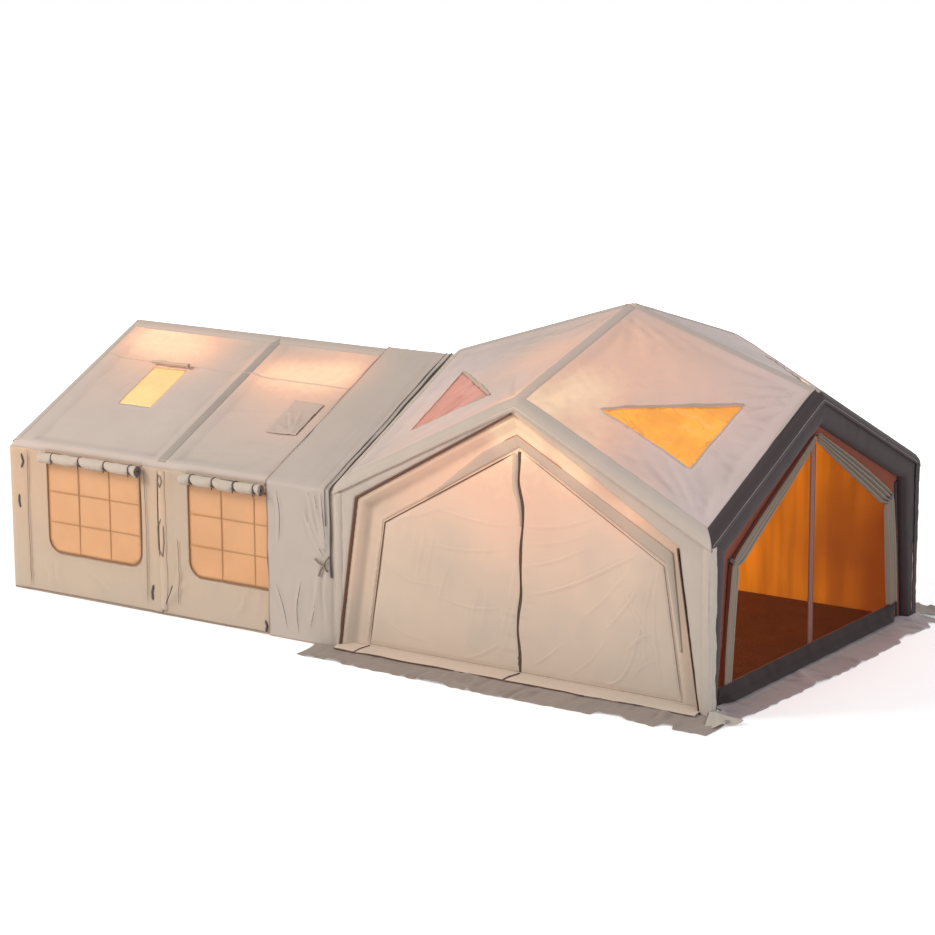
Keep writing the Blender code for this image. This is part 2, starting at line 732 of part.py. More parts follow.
def window_outline(left):
    """A window with round lower corners, in x and z."""
    right, low, high = left + WINDOW_WIDTH, WINDOW_SILL, WINDOW_SILL + WINDOW_HEIGHT
    points = []
    for middle, start in ((left + WINDOW_CORNER, math.pi), (right - WINDOW_CORNER, 1.5 * math.pi)):
        for i in range(WINDOW_CORNER_STEPS + 1):
            turn = start + 0.5 * math.pi * i / WINDOW_CORNER_STEPS
            across = middle + WINDOW_CORNER * math.cos(turn)
            points.append((across, low + WINDOW_CORNER * (1 + math.sin(turn))))
    return points + [(right, high), (left, high)]


def windows():
    return {
        "outer": window_outline(ANNEX_OUTER + END_TO_WINDOW),
        "inner": window_outline(MIDDLE_ARCH + MIDDLE_TO_WINDOW),
    }


def make_annex_walls():
    slope = annex_slope(-1)
    top = height(slope, 0, -ANNEX_HALF) - CANVAS - GAP * steepness(slope)
    wall = box_outline(ANNEX_OUTER, ANNEX_INNER, 0, top)
    pane_in = (CANVAS - FILM) / 2
    for side, north in (("front", -1), ("back", 1)):
        holes = tuple(windows().values())
        face, back = north * ANNEX_HALF, north * (ANNEX_HALF - CANVAS)
        keep("annex_%s_wall" % side, across_y(wall, face, back, holes), "wall_canvas")
        for name, hole in windows().items():
            pane = inset(hole, [GAP] * len(hole))
            face, back = north * (ANNEX_HALF - pane_in), north * (ANNEX_HALF - pane_in - FILM)
            keep("window_%s_%s" % (side, name), across_y(pane, face, back), "window_film")
    half, drop = ANNEX_WALL_BACK, CANVAS + GAP * steepness(slope)
    eave, peak = height(slope, 0, -half) - drop, ANNEX_RIDGE - drop
    gable = [(-half, 0), (half, 0), (half, eave), (0, peak), (-half, eave)]
    keep("annex_end_wall", across_x(gable, ANNEX_OUTER, ANNEX_OUTER + CANVAS), "wall_canvas")


def roll_outline(middle_y, middle_z, radius, start):
    """The end view of rolled canvas: one turn that steps in where the loose edge ends, from angle start."""
    points = []
    for i in range(ROLL_POINTS + 1):
        share = i / ROLL_POINTS
        turn, reach = start + 2 * math.pi * share, radius * (1 - ROLL_STEP_SHARE * share)
        points.append((middle_y + reach * math.cos(turn), middle_z + reach * math.sin(turn)))
    return points


def cover_ends(name):
    """Where a window's rolled cover starts and ends. The inner one stops short of the sleeve."""
    outline = windows()[name]
    left = min(u for u, _ in outline) - COVER_OVERLAP
    right = max(u for u, _ in outline) + COVER_OVERLAP
    return left, min(right, SLEEVE_START - COVER_OVERLAP)


def make_window_covers():
    middle_z = WINDOW_SILL + WINDOW_HEIGHT + COVER_LIFT
    for side, north, to_wall in (("front", -1, 0), ("back", 1, math.pi)):
        middle_y = north * (ANNEX_HALF + GAP + COVER_RADIUS)
        outline = roll_outline(middle_y, middle_z, COVER_RADIUS, to_wall)
        for name in ("outer", "inner"):
            left, right = cover_ends(name)
            origin = (left, middle_y, middle_z)
            keep("window_cover_%s_%s" % (side, name), across_x(outline, left, right), "wall_canvas", origin)


def make_skylight_covers():
    lights, slope = annex_skylights(), annex_slope(-1)
    steep = steepness(slope)
    (left, _), (right, _), (_, high), _ = lights["outer"]
    middle_z = height(slope, 0, high) + (SKYLIGHT_ROLL_RADIUS + GAP) * steep
    outline = roll_outline(high, middle_z, SKYLIGHT_ROLL_RADIUS, math.atan2(-1, slope[2]))
    roll = across_x(outline, left - FLAP_OVERLAP, right + FLAP_OVERLAP)
    keep("skylight_cover_outer", roll, "roof_canvas", (left, high, middle_z))
    over = inset(lights["inner"], [-FLAP_OVERLAP] * 4)
    raised = (slope[0] + GAP * steep + FLAP_THICK, *slope[1:])
    hinge_y = over[2][1]
    origin = (over[3][0], hinge_y, height(raised, 0, hinge_y))
    keep("skylight_cover_inner", roof_sheet([(over, (), raised)], FLAP_THICK), "roof_canvas", origin)


# Connecting sleeve


def sleeve_profile(out):
    """The annex's outline in y and z, moved out by a distance, from front foot over to back foot."""
    slope = annex_slope(-1)
    half, lift = ANNEX_HALF + out, out * steepness(slope)
    eave, peak = height(slope, 0, -half) + lift, ANNEX_RIDGE + lift
    return [(-half, 0), (-half, eave), (0, peak), (half, eave), (half, 0)]


def make_sleeve():
    outer, inner = sleeve_profile(GAP + CANVAS), sleeve_profile(GAP)
    flange = sleeve_profile(GAP + CANVAS - SLEEVE_FLANGE)
    turn_in = SLEEVE_END - CANVAS
    rings = []
    for (oy, oz), (iy, iz), (fy, fz) in zip(outer, inner, flange):
        rings.append([
            (SLEEVE_START, oy, oz), (SLEEVE_END, oy, oz), (SLEEVE_END, fy, fz),
            (turn_in, fy, fz), (turn_in, iy, iz), (SLEEVE_START, iy, iz),
        ])
    keep("connecting_sleeve", loft(rings), "beam_sleeve_canvas")


# Inflation valves


def disc_rings(profile, middle, out, ridge=0):
    """Rings round the Y axis from (radius, distance out, 1 or 0 for ridges or none)."""
    rings = []
    for radius, far, ridged in profile:
        ring = []
        for i in range(VALVE_SEGMENTS):
            turn = 2 * math.pi * i / VALVE_SEGMENTS
            on_ridge = i % (VALVE_SEGMENTS // CAP_RIDGES) == 0
            reach = radius + (ridge * ridged if on_ridge else 0)
            place = (reach * math.cos(turn), out * far, reach * math.sin(turn))
            ring.append(Vector(middle) + Vector(place))
        rings.append(ring)
    return rings


def add_valve(arch_name, cap_name, middle, out):
    """A valve seat fused to a post of an arch, and the screw cap over it. Out is 1 or -1 along Y."""
    ends = [(VALVE_RADIUS, -BEAM_RADIUS / 2, 0), (VALVE_RADIUS, VALVE_PROUD, 0)]
    cutter = keep(cap_name + "_seat", loft(disc_rings(ends, middle, out)), "valve_plastic")
    cutter.hide_render = True
    cutter.display_type = "WIRE"
    join = bpy.data.objects[arch_name].modifiers.new("valve_seat", "BOOLEAN")
    join.operation = "UNION"
    join.solver = "EXACT"
    join.object = cutter
    inside, outside = VALVE_RADIUS + GAP, VALVE_RADIUS + GAP + CAP_WALL
    floor, top = VALVE_PROUD + GAP, VALVE_PROUD + GAP + CAP_TOP
    profile = [
        (inside, floor, 0),
        (inside, CAP_RIM, 0),
        (outside, CAP_RIM, 0),
        (outside, top - CAP_RIDGE, 1),
        (outside - CAP_RIDGE, top, 0),
    ]
    cap = loft(disc_rings(profile, middle, out, CAP_RIDGE))
    keep(cap_name, cap, "valve_plastic", middle)


def make_valves():
    add_valve("hub_back_arch", "hub_valve_cap", (BEAM_LINE, HUB_HALF, VALVE_HEIGHT), 1)
    face = ANNEX_BEAM_LINE - BEAM_RADIUS
    add_valve("annex_middle_arch", "annex_valve_cap", (MIDDLE_ARCH, face, VALVE_HEIGHT), -1)


def main():
    clear_scene()
    tent = bpy.data.objects.new("tent", None)
    tent.location = (HUB_X, 0, 0)
    bpy.context.scene.collection.objects.link(tent)
    make_hub_frame()
    make_hub_roof()
    make_hub_walls()
    make_front_door()
    make_mesh_door()
    make_sliders()
    make_curtains()
    make_skirts()
    make_groundsheets()
    make_annex_frame()
    make_annex_roof()
    make_annex_walls()
    make_window_covers()
    make_skylight_covers()
    make_sleeve()
    make_valves()


main()
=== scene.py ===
"""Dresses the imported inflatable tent: cloth, film, net, webbing and small trim round its fixed frame.

Metres, +Z up. Shapes are written in the hub's own frame, whose middle is at x = HUB_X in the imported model.
"""

import math

import bpy
import numpy as np
from mathutils import Matrix, Vector
from mathutils.geometry import delaunay_2d_cdt


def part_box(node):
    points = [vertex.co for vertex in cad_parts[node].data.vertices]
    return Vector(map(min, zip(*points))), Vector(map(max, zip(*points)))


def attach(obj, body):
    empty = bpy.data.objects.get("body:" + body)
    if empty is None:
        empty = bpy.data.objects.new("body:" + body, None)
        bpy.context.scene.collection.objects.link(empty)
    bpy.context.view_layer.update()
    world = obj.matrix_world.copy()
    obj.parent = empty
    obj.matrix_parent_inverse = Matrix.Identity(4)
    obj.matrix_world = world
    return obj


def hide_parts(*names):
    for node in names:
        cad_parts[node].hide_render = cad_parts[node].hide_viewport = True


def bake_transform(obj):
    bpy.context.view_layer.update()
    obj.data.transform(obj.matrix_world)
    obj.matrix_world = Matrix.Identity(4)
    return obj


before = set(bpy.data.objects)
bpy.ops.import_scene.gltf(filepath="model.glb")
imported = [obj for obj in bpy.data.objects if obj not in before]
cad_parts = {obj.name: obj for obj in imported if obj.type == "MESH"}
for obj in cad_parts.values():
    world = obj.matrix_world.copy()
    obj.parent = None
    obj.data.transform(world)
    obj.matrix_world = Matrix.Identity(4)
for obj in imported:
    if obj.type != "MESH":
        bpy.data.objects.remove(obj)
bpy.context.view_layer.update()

bl_info = {
    "name": "Inflatable tent",
    "version": (1, 0, 0),
    "blender": (4, 5, 0),
    "location": "3D View > Sidebar > Tent",
    "description": "Cloth, film, net and small trim of an air-beam tent, built round its packed frame",
    "category": "Add Mesh",
}


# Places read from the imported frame


def low(node):
    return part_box(node)[0]


def high(node):
    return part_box(node)[1]


def middle_x(node):
    return (low(node).x + high(node).x) / 2


def highest_at(node, axis, value):
    """The height of a node's highest corner at one value of an axis."""
    found = [v.co.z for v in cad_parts[node].data.vertices if abs(v.co[axis] - value) < 0.001]
    return max(found)


CAD_CANVAS = 0.004
HUB_X = middle_x("hub_ridge_beam")
HALF = high("hub_roof_front_right").x - HUB_X
EAVE = low("hub_roof_front_right").z + CAD_CANVAS
APEX = high("hub_roof_front_right").z
FRONT_PEAK = highest_at("hub_roof_front_right", 1, -HALF)
SIDE_PEAK = highest_at("hub_roof_front_right", 0, HUB_X + HALF)
WALL = -low("hub_front_wall").y
BEAM = 0.10  # radius of an air beam with its sleeve
BEAM_LINE = HALF - BEAM

FOOT_HALF = HUB_X - low("front_door_left").x
CORNER_HALF = 1.42  # the doors' upper corners: half the way across, and how high
DOOR_CORNER = 1.21
FRONT_SILL = low("front_door_left").z
FRONT_DOOR_TOP = high("front_door_left").z
SIDE_SILL = low("mesh_door_front").z
SIDE_DOOR_TOP = high("mesh_door_front").z

ANNEX_OUTER = low("annex_roof_front").x - HUB_X
ANNEX_INNER = high("annex_roof_front").x - HUB_X
ANNEX_HALF = -low("annex_roof_front").y
ANNEX_EAVE = low("annex_roof_front").z + CAD_CANVAS
ANNEX_RIDGE = high("annex_roof_front").z
END_ARCH = middle_x("annex_end_arch") - HUB_X
MIDDLE_ARCH = middle_x("annex_middle_arch") - HUB_X
INNER_ARCH = middle_x("annex_inner_arch") - HUB_X
SLEEVE_START = low("connecting_sleeve").x - HUB_X
SLEEVE_END = high("connecting_sleeve").x - HUB_X


# Sizes and colours that a user would change


def linear(hex_colour):
    """An sRGB hex colour as linear RGB."""
    channels = [int(hex_colour[i : i + 2], 16) / 255 for i in (0, 2, 4)]
    return [c / 12.92 if c <= 0.04045 else ((c + 0.055) / 1.055) ** 2.4 for c in channels]


def length(name, description, default):
    return bpy.props.FloatProperty(name=name, description=description, default=default, unit="LENGTH", precision=4)


def colour(name, description, default):
    return bpy.props.FloatVectorProperty(name=name, description=description, default=linear(default), size=3,
                                         min=0, max=1, subtype="COLOR")


class TentSizes(bpy.types.PropertyGroup):
    mesh_step: length("Mesh step", "Distance between the points of a cut of cloth that shows", 0.028)
    plain_step: length("Plain mesh step", "The same for cloth that hardly shows", 0.055)
    canvas: length("Canvas", "Thickness of the canvas", 0.003)
    sheer: length("Film and net", "Thickness of film and net", 0.0015)
    sag: length("Roof sag", "How far the roof hangs between its beams", 0.03)
    crease: length("Creases", "Height of the soft creases in the canvas", 0.011)
    edge_round: length("Edge rounding", "Radius of the roof's edge over a beam", 0.05)
    seam: length("Seams", "Height of a lapped seam", 0.003)
    weave: length("Weave", "Distance between threads as drawn", 0.006)


class TentColours(bpy.types.PropertyGroup):
    roof: colour("Roof", "Roof canvas of the annex", "C6B8AF")
    hub_roof: colour("Hub roof", "Roof canvas of the hub", "D7C5C0")
    # On the hub's ridge bands this darker grey is painted shade, where the beams block the lamplight
    ridge: colour("Ridge bands", "Canvas over the roof's beams", "BDB0A6")
    wall: colour("Wall", "Wall canvas", "CBB097")
    door: colour("Door", "Canvas door", "E6CBB4")
    arch: colour("Arch", "Sleeves over the gables' beams", "C6B8AB")
    surround: colour("Door surround", "Wall between sleeve and door", "E2C5AC")
    trim: colour("Grey band", "Band round the door and posts of the annex", "B9A898")
    arch_band: colour("Annex band", "Band over the annex's middle arch", "A4988F")
    # This darker grey is painted shade: the soft shadow line along the annex's middle arch
    sleeve: colour("Sleeve", "Connecting sleeve", "C2B5AC")
    dark: colour("Dark canvas", "Gable of the net door", "453B3B")
    sill: colour("Sill", "Sill of the net door", "352C2C")
    skirt: colour("Skirt", "Ground flap of the canvas door", "9A8E85")
    dark_skirt: colour("Dark skirt", "Ground flap of the net door", "B3A7A6")
    drift: colour("Drift", "Cooler tone that canvas drifts to in patches", "B5AEA2")
    peach: colour("Peach lamplight", "Canvas where a little lamplight comes through", "F3BFA4")
    glow: colour("Lamplight", "Canvas where much lamplight comes through", "FFDDB8")
    lining: colour("Lining", "Inside of the canvas in lamplight", "D67C12")
    lining_shade: colour("Shaded lining", "Inside of the canvas away from the lamp", "7A380E")
    film: colour("Window film", "Frosted window film", "CE9A6C")
    amber: colour("Amber film", "Skylight film at the hub's right", "EC9C3A")
    rose: colour("Rose film", "Skylight film at the hub's left", "C4765E")
    lemon: colour("Lemon film", "Skylight film of the annex", "EEC684")
    floor: colour("Groundsheet", "Groundsheet", "5A2D14")
    net: colour("Net", "Insect net", "6A3410")
    # This rust is painted lamplight: the warm lit side of the curtains, also used on the net door's wall
    rust: colour("Curtain lining", "Lamplit side of the tied curtains", "8E4A33")
    curtain: colour("Curtain", "Tied canvas leaves", "988B7C")
    zip_tape: colour("Zip tape", "Tape of the net door's zip", "90543F")
    zip_edge: colour("Zip tape edge", "Edges of the net door's zip tape", "5C3226")
    dark_zip: colour("Zip coil", "Coil of the canvas door's zip", "5A4332")
    # Its brown lines along the front recess, down the door's left edge and its hem are painted shadow; at the hem's
    # foot it is a seam
    binding: colour("Binding", "Brown binding round the front recess and door", "6E4A33")
    piping: colour("Piping", "Piping over the canvas door", "D98A45")
    window_piping: colour("Window piping", "Binding of the windows", "8F6A4E")
    muntin: colour("Window grid", "Tapes across the windows", "C9935F")
    webbing: colour("Webbing", "Straps and loops", "8A7A6C")
    # This dark finish also stands as painted shade inside the window rolls, at the outer roll's end and along the
    # sleeve's pleats
    tie: colour("Tie", "Dark ties and the gathered seam by the hub", "5A4F4B")
    plastic: colour("Plastic", "Valve caps and toggles", "3A3A3C")
    metal: colour("Zip sliders", "Die-cast sliders", "6E6C6A")


def sizes():
    return bpy.context.scene.tent_sizes


def colours():
    return bpy.context.scene.tent_colours


# Small tools for shapes


def smooth_step(start, end, x):
    share = np.clip((x - start) / (end - start), 0, 1)
    return share * share * (3 - 2 * share)


LATTICE = 97
LATTICE_SHIFT = 500.37


def soft_noise(u, v, cell_u, cell_v, seed):
    """Smooth heights from -1 to 1 whose bumps are about one cell across."""
    heights = np.random.default_rng(seed).uniform(-1, 1, (LATTICE, LATTICE))
    a, b = u / cell_u + LATTICE_SHIFT, v / cell_v + LATTICE_SHIFT
    i, j = np.floor(a).astype(int), np.floor(b).astype(int)
    s, t = smooth_step(0, 1, a - i), smooth_step(0, 1, b - j)

    def at(k, m):
        return heights[(i + k) % LATTICE, (j + m) % LATTICE]

    return (at(0, 0) * (1 - s) + at(1, 0) * s) * (1 - t) + (at(0, 1) * (1 - s) + at(1, 1) * s) * t


FOLD_STRAY, FOLD_WIDTH = 0.6, 0.28  # how far a fold strays, as a share of the distance apart, and how wide it is


def folds(u, v, degrees, apart, long, seed):
    """Long soft folds, from 0 to 1, that run at an angle and come and go."""
    turn = np.radians(degrees)
    along, across = u * np.cos(turn) + v * np.sin(turn), v * np.cos(turn) - u * np.sin(turn)
    across = across + FOLD_STRAY * apart * soft_noise(along, across, long, long, seed + 1)
    crest = np.exp(-((soft_noise(along, across, long, apart, seed) / FOLD_WIDTH) ** 2))
    return crest * smooth_step(-0.1, 0.7, soft_noise(u, v, long, long, seed + 2))


def rays(u, v, centre, towards, apart, near, far, seed):
    """Folds, from -1 to 1, that run out from where the cloth is pulled. The angles are in degrees."""
    across, up = u - centre[0], v - centre[1]
    reach = np.hypot(across, up)
    turn = (np.degrees(np.arctan2(up, across)) - towards + 180) % 360 - 180
    wave = soft_noise(turn, reach, apart, far, seed)
    return wave * smooth_step(0, near, reach) * (1 - smooth_step(near, far, reach))


def rounded_line(line, times=3):
    """A line with its corners cut round and its ends kept."""
    line = np.array(line, float)
    for _ in range(times):
        quarters = np.stack([line[:-1] * 0.75 + line[1:] * 0.25, line[:-1] * 0.25 + line[1:] * 0.75], 1)
        line = np.concatenate([line[:1], quarters.reshape(-1, 2)[1:-1], line[-1:]])
    return line


def crease(u, v, line, width):
    """One pinched fold along a line, 1 high at most, that tapers off to both ends."""
    line = rounded_line(line)
    runs = np.diff(line, axis=0)
    longs = np.hypot(*runs.T)
    nearest, along, start = np.full(np.shape(u), np.inf), np.zeros(np.shape(u)), 0.0
    for point, run, long in zip(line, runs, longs):
        share = np.clip(((u - point[0]) * run[0] + (v - point[1]) * run[1]) / long**2, 0, 1)
        away = np.hypot(u - point[0] - share * run[0], v - point[1] - share * run[1])
        nearer = away < nearest
        nearest = np.where(nearer, away, nearest)
        along = np.where(nearer, (start + share * long) / longs.sum(), along)
        start += long
    return np.exp(-((nearest / width) ** 1.4)) * np.sqrt(np.sin(math.pi * np.clip(along, 0, 1)))


def creased(u, v, lines, width):
    """Folds along several (height share, line) pairs."""
    return sum(share * crease(u, v, line, width) for share, line in lines)


def edge_distance(points, loops):
    """How far each point is from the nearest of some closed outlines."""
    nearest = np.full(len(points), np.inf)
    for loop in loops:
        loop = np.array(loop, float)
        for start, end in zip(loop, np.roll(loop, -1, axis=0)):
            run = end - start
            share = np.clip((points - start) @ run / max(run @ run, 1e-12), 0, 1)
            nearest = np.minimum(nearest, np.hypot(*(points - start - share[:, None] * run).T))
    return nearest


def inside(points, loop):
    """Which points lie inside a closed outline."""
    found = np.zeros(len(points), bool)
    loop = np.array(loop, float)
    for (x0, y0), (x1, y1) in zip(loop, np.roll(loop, -1, axis=0)):
        if y0 == y1:
            continue
        spans = (points[:, 1] > min(y0, y1)) & (points[:, 1] <= max(y0, y1))
        found ^= spans & (points[:, 0] < x0 + (points[:, 1] - y0) * (x1 - x0) / (y1 - y0))
    return found


def within(points, loops):
    """Which points lie inside the first outline and in none of the holes after it."""
    found = inside(points, loops[0])
    for hole in loops[1:]:
        found &= ~inside(points, hole)
    return found


def divided(line, step, closed=False):
    """The line with points no further apart than a step."""
    line = [np.array(point, float) for point in line]
    made = []
    for start, end in zip(line, line[1:] + line[:1] if closed else line[1:]):
        count = max(1, math.ceil(np.linalg.norm(end - start) / step))
        made += [start + (end - start) * i / count for i in range(count)]
    return np.array(made if closed else made + [line[-1]])


# Cloth: a cut is a flat outline filled with points, a band is a strip between two lines

PROUD = 0.01  # a step off the cloth that shows which way is out
ROW = 0.87  # rows of points stand this share of a step apart
THIN_SIDES = 8
UPWARD = (0, 0, 1)


class Cloth:
    """Points, faces and the flat size of a piece of cloth."""

    def __init__(self, points, faces, outward, flat, area):
        points = np.array(points, float)
        first = np.array([points[f[1]] - points[f[0]] for f in faces])
        second = np.array([points[f[2]] - points[f[0]] for f in faces])
        facing = (np.cross(first, second) * np.array([outward[f[0]] for f in faces])).sum()
        self.points = points
        self.faces = [f[::-1] for f in faces] if facing < 0 else faces
        wide, long = sorted(flat)
        fits = area is not None and 0.3 * wide * long <= area <= wide * long
        self.area = area if fits else None
        self.flat = (wide, long) if fits or area is None else (area / long, long)


def cut(outline, place, holes=(), step=None, relief=None, held=0.0, lines=()):
    """A flat cut of cloth that place(u, v, w) puts in space. Its relief fades out within held of an edge."""
    step = step or sizes().mesh_step
    loops = [divided(loop, step, True) for loop in (outline, *holes)]
    lines = [divided(line, step) for line in lines]
    low_corner, high_corner = loops[0].min(0), loops[0].max(0)
    rows = np.arange(low_corner[1], high_corner[1], step * ROW)
    grid = []
    for i, row in enumerate(rows):
        columns = np.arange(low_corner[0] + (i % 2) * step / 2, high_corner[0], step)
        grid.append(np.stack([columns, np.full(len(columns), row)], -1))
    grid = np.concatenate(grid)
    keep = within(grid, loops) & (edge_distance(grid, loops) > step * 0.55)
    for line in lines:
        keep &= edge_distance(grid, [np.concatenate([line, line[::-1]])]) > step * 0.5
    grid = grid[keep]
    edges, start = [], 0
    for loop in loops:
        edges += [(start + i, start + (i + 1) % len(loop)) for i in range(len(loop))]
        start += len(loop)
    for line in lines:
        edges += [(start + i, start + i + 1) for i in range(len(line) - 1)]
        start += len(line)
    flat_points = np.concatenate([*loops, *lines, grid])
    made = delaunay_2d_cdt([Vector(p) for p in flat_points], edges, [], 0, 1e-6)
    flat_points = np.array([tuple(p) for p in made[0]])
    faces = np.array([tuple(f) for f in made[2]])
    faces = faces[within(flat_points[faces].mean(1), loops)]
    used, faces = np.unique(faces, return_inverse=True)
    faces = faces.reshape(-1, 3)
    flat_points = flat_points[used]
    u, v = flat_points.T
    base, proud = place(u, v, 0 * u), place(u, v, 0 * u + PROUD)
    lift = relief(u, v) if relief else 0 * u
    if held:
        lift = lift * smooth_step(0, held, edge_distance(flat_points, loops))
    a, b, c = base[faces].transpose(1, 0, 2)
    area = float(np.linalg.norm(np.cross(b - a, c - a), axis=1).sum() / 2)
    sides = place(np.array([low_corner[0], high_corner[0], low_corner[0]]),
                  np.array([low_corner[1], low_corner[1], high_corner[1]]), np.zeros(3))
    flat = (np.linalg.norm(sides[1] - sides[0]), np.linalg.norm(sides[2] - sides[0]))
    return Cloth(place(u, v, lift), [tuple(f) for f in faces.tolist()], proud - base, flat, area)


def grid_faces(rows, columns, wrap=False):
    """Quads between the points of a grid, row after row."""
    faces = []
    for j in range(rows - 1):
        for i in range(columns if wrap else columns - 1):
            k = (i + 1) % columns
            faces.append((j * columns + i, j * columns + k, (j + 1) * columns + k, (j + 1) * columns + i))
    return faces


def matched(line_a, line_b, step):
    """Two lines with the same corners, divided alike."""
    made_a, made_b = [], []
    pairs = list(zip(line_a, line_b))
    for (a0, b0), (a1, b1) in zip(pairs, pairs[1:]):
        long = max(math.dist(a0, a1), math.dist(b0, b1))
        shares = np.linspace(0, 1, max(2, math.ceil(long / step) + 1))[:-1, None]
        made_a.append(np.array(a0) + (np.array(a1) - np.array(a0)) * shares)
        made_b.append(np.array(b0) + (np.array(b1) - np.array(b0)) * shares)
    made_a.append(np.array([line_a[-1]], float))
    made_b.append(np.array([line_b[-1]], float))
    return np.concatenate(made_a), np.concatenate(made_b)


def band(line_a, line_b, place, profile, step=None, relief=None, over=None):
    """A strip between two lines of (u, v) with the same corners. Its profile is (share across, height) pairs.

    Where over(u, v) is given, the strip stays a little above that height.
    """
    made_a, made_b = matched(line_a, line_b, step or sizes().mesh_step)
    rows, outward = [], []
    for share, height in profile:
        u, v = (made_a + (made_b - made_a) * share).T
        lift = height + (relief(u, v) if relief else 0) + 0 * u
        if over:
            lift = np.maximum(lift, over(u, v) + 0.002 + 0.004 * math.sin(math.pi * share))
        rows.append(place(u, v, lift))
        outward.append(place(u, v, lift + PROUD) - rows[-1])
    return skin(rows, outward)


def skin_size(rows):
    """How wide and long a grid of points is, along its own surface."""
    across = np.linalg.norm(np.diff(rows, axis=0), axis=2).sum(0).mean()
    along = np.linalg.norm(np.diff(rows, axis=1), axis=2).sum(1).mean()
    return float(across), float(along)


def skin(rows, outward, wrap=False):
    """Cloth over a grid of points in space, with the way out of it at each point or one way for all."""
    rows = np.array(rows, float)
    outward = np.broadcast_to(np.array(outward, float), rows.shape)
    faces = grid_faces(rows.shape[0], rows.shape[1], wrap)
    return Cloth(rows.reshape(-1, 3), faces, outward.reshape(-1, 3), skin_size(rows), None)


def smoothed(values, times):
    """Values along a line, evened out, with both ends kept."""
    for _ in range(times):
        values[1:-1] = (values[:-2] + 2 * values[1:-1] + values[2:]) / 4
    return values


def tapered(radius, count, rise, least):
    """Radii along a thin line: they rise from a least share of the radius at both ends."""
    return radius * np.clip(np.sin(math.pi * np.linspace(0, 1, count)) * rise, least, 1)


def path_frames(path):
    """Two directions square to a path at each of its points, without twist."""
    runs = np.gradient(path, axis=0)
    runs /= np.linalg.norm(runs, axis=1)[:, None]
    side = np.cross(runs[0], [0, 0, 1] if abs(runs[0][2]) < 0.9 else [1, 0, 0])
    sides = []
    for run in runs:
        side = side - run * (side @ run)
        side = side / np.linalg.norm(side)
        sides.append(side)
    return np.array(sides), np.cross(runs, sides)


def tube(path, radius, around=THIN_SIDES, closed=False):
    """A closed tube along a path. Radius is a number, or one per point, or one per point and side."""
    path = np.array(path, float)
    if closed:
        path = np.concatenate([path, path[:1]])
    sides, ups = path_frames(path)
    if closed:
        sides[-1], ups[-1] = sides[0], ups[0]
    turns = np.linspace(0, 2 * math.pi, around, endpoint=False)
    spokes = sides[:, None] * np.cos(turns)[:, None] + ups[:, None] * np.sin(turns)[:, None]
    radius = np.array(radius, float)
    radius = radius[:, :, None] if radius.ndim == 2 else radius.reshape((-1, 1, 1))
    rows = path[:, None] + spokes * radius
    made = skin(rows, spokes, wrap=True)
    last = len(path) - 1
    if closed:
        made.faces = [tuple(i % (last * around) for i in f) for f in made.faces]
        made.points = made.points[: last * around]
    else:
        ends = [tuple(range(around)), tuple(last * around + i for i in range(around))]
        flipped = made.faces[0] != grid_faces(2, around, True)[0]
        ends[0] = ends[0] if flipped else ends[0][::-1]
        ends[1] = ends[1][::-1] if flipped else ends[1]
        made.faces = made.faces + ends
    return made


def joined(cloths):
    """Several shapes as one."""
    points, faces, start = [], [], 0
    for cloth in cloths:
        points.append(cloth.points)
        faces += [tuple(start + i for i in f) for f in cloth.faces]
        start += len(cloth.points)
    made = cloths[0]
    made.points, made.faces = np.concatenate(points), faces
    return made


# Where lamps shine through the cloth: place in the hub's frame, reach and strength
LAMPLIGHT = [
    ((-5.41, -0.19, 2.25), 0.34, 0.85), ((-4.68, -0.31, 2.20), 0.38, 0.62), ((-5.05, -0.2, 2.25), 0.33, 0.5),
    ((-3.70, -0.48, 2.1), 0.30, 0.6), ((-3.30, -0.45, 2.1), 0.34, 0.55), ((-2.89, -0.37, 2.15), 0.34, 0.75),
    ((-3.2, -0.75, 1.95), 0.6, 0.3), ((-5.1, -0.6, 2.05), 0.5, 0.25),
    ((0.30, -1.35, 2.5), 0.38, 0.75), ((0.10, -1.78, 2.35), 0.28, 0.75), ((0.9, -0.75, 2.5), 0.75, 0.42),
    ((0.25, -0.45, 2.75), 0.55, 0.35), ((0.75, -1.6, 2.2), 0.35, 0.3),
    ((-0.05, -1.85, 2.15), 0.26, 1.0), ((0.55, -1.85, 1.95), 0.26, 0.8), ((1.1, -1.85, 1.62), 0.26, 0.7),
    ((-0.6, -1.85, 1.85), 0.35, 0.40), ((-1.15, -1.85, 1.60), 0.35, 0.35), ((0.25, -1.8, 1.6), 0.6, 0.38),
    ((-0.25, -1.8, 1.6), 0.5, 0.3), ((-1.25, -1.15, 2.15), 0.35, 0.35), ((-0.45, -0.8, 2.6), 0.5, 0.4),
]


def lamplight(points):
    """How much lamplight comes through the cloth at each point, from 0 to 1."""
    total = np.zeros(len(points))
    for place, reach, strength in LAMPLIGHT:
        away = np.linalg.norm(points - (np.array(place) + (HUB_X, 0, 0)), axis=1)
        total += strength * np.exp(-((away / reach) ** 2))
    return np.clip(total, 0, 1)


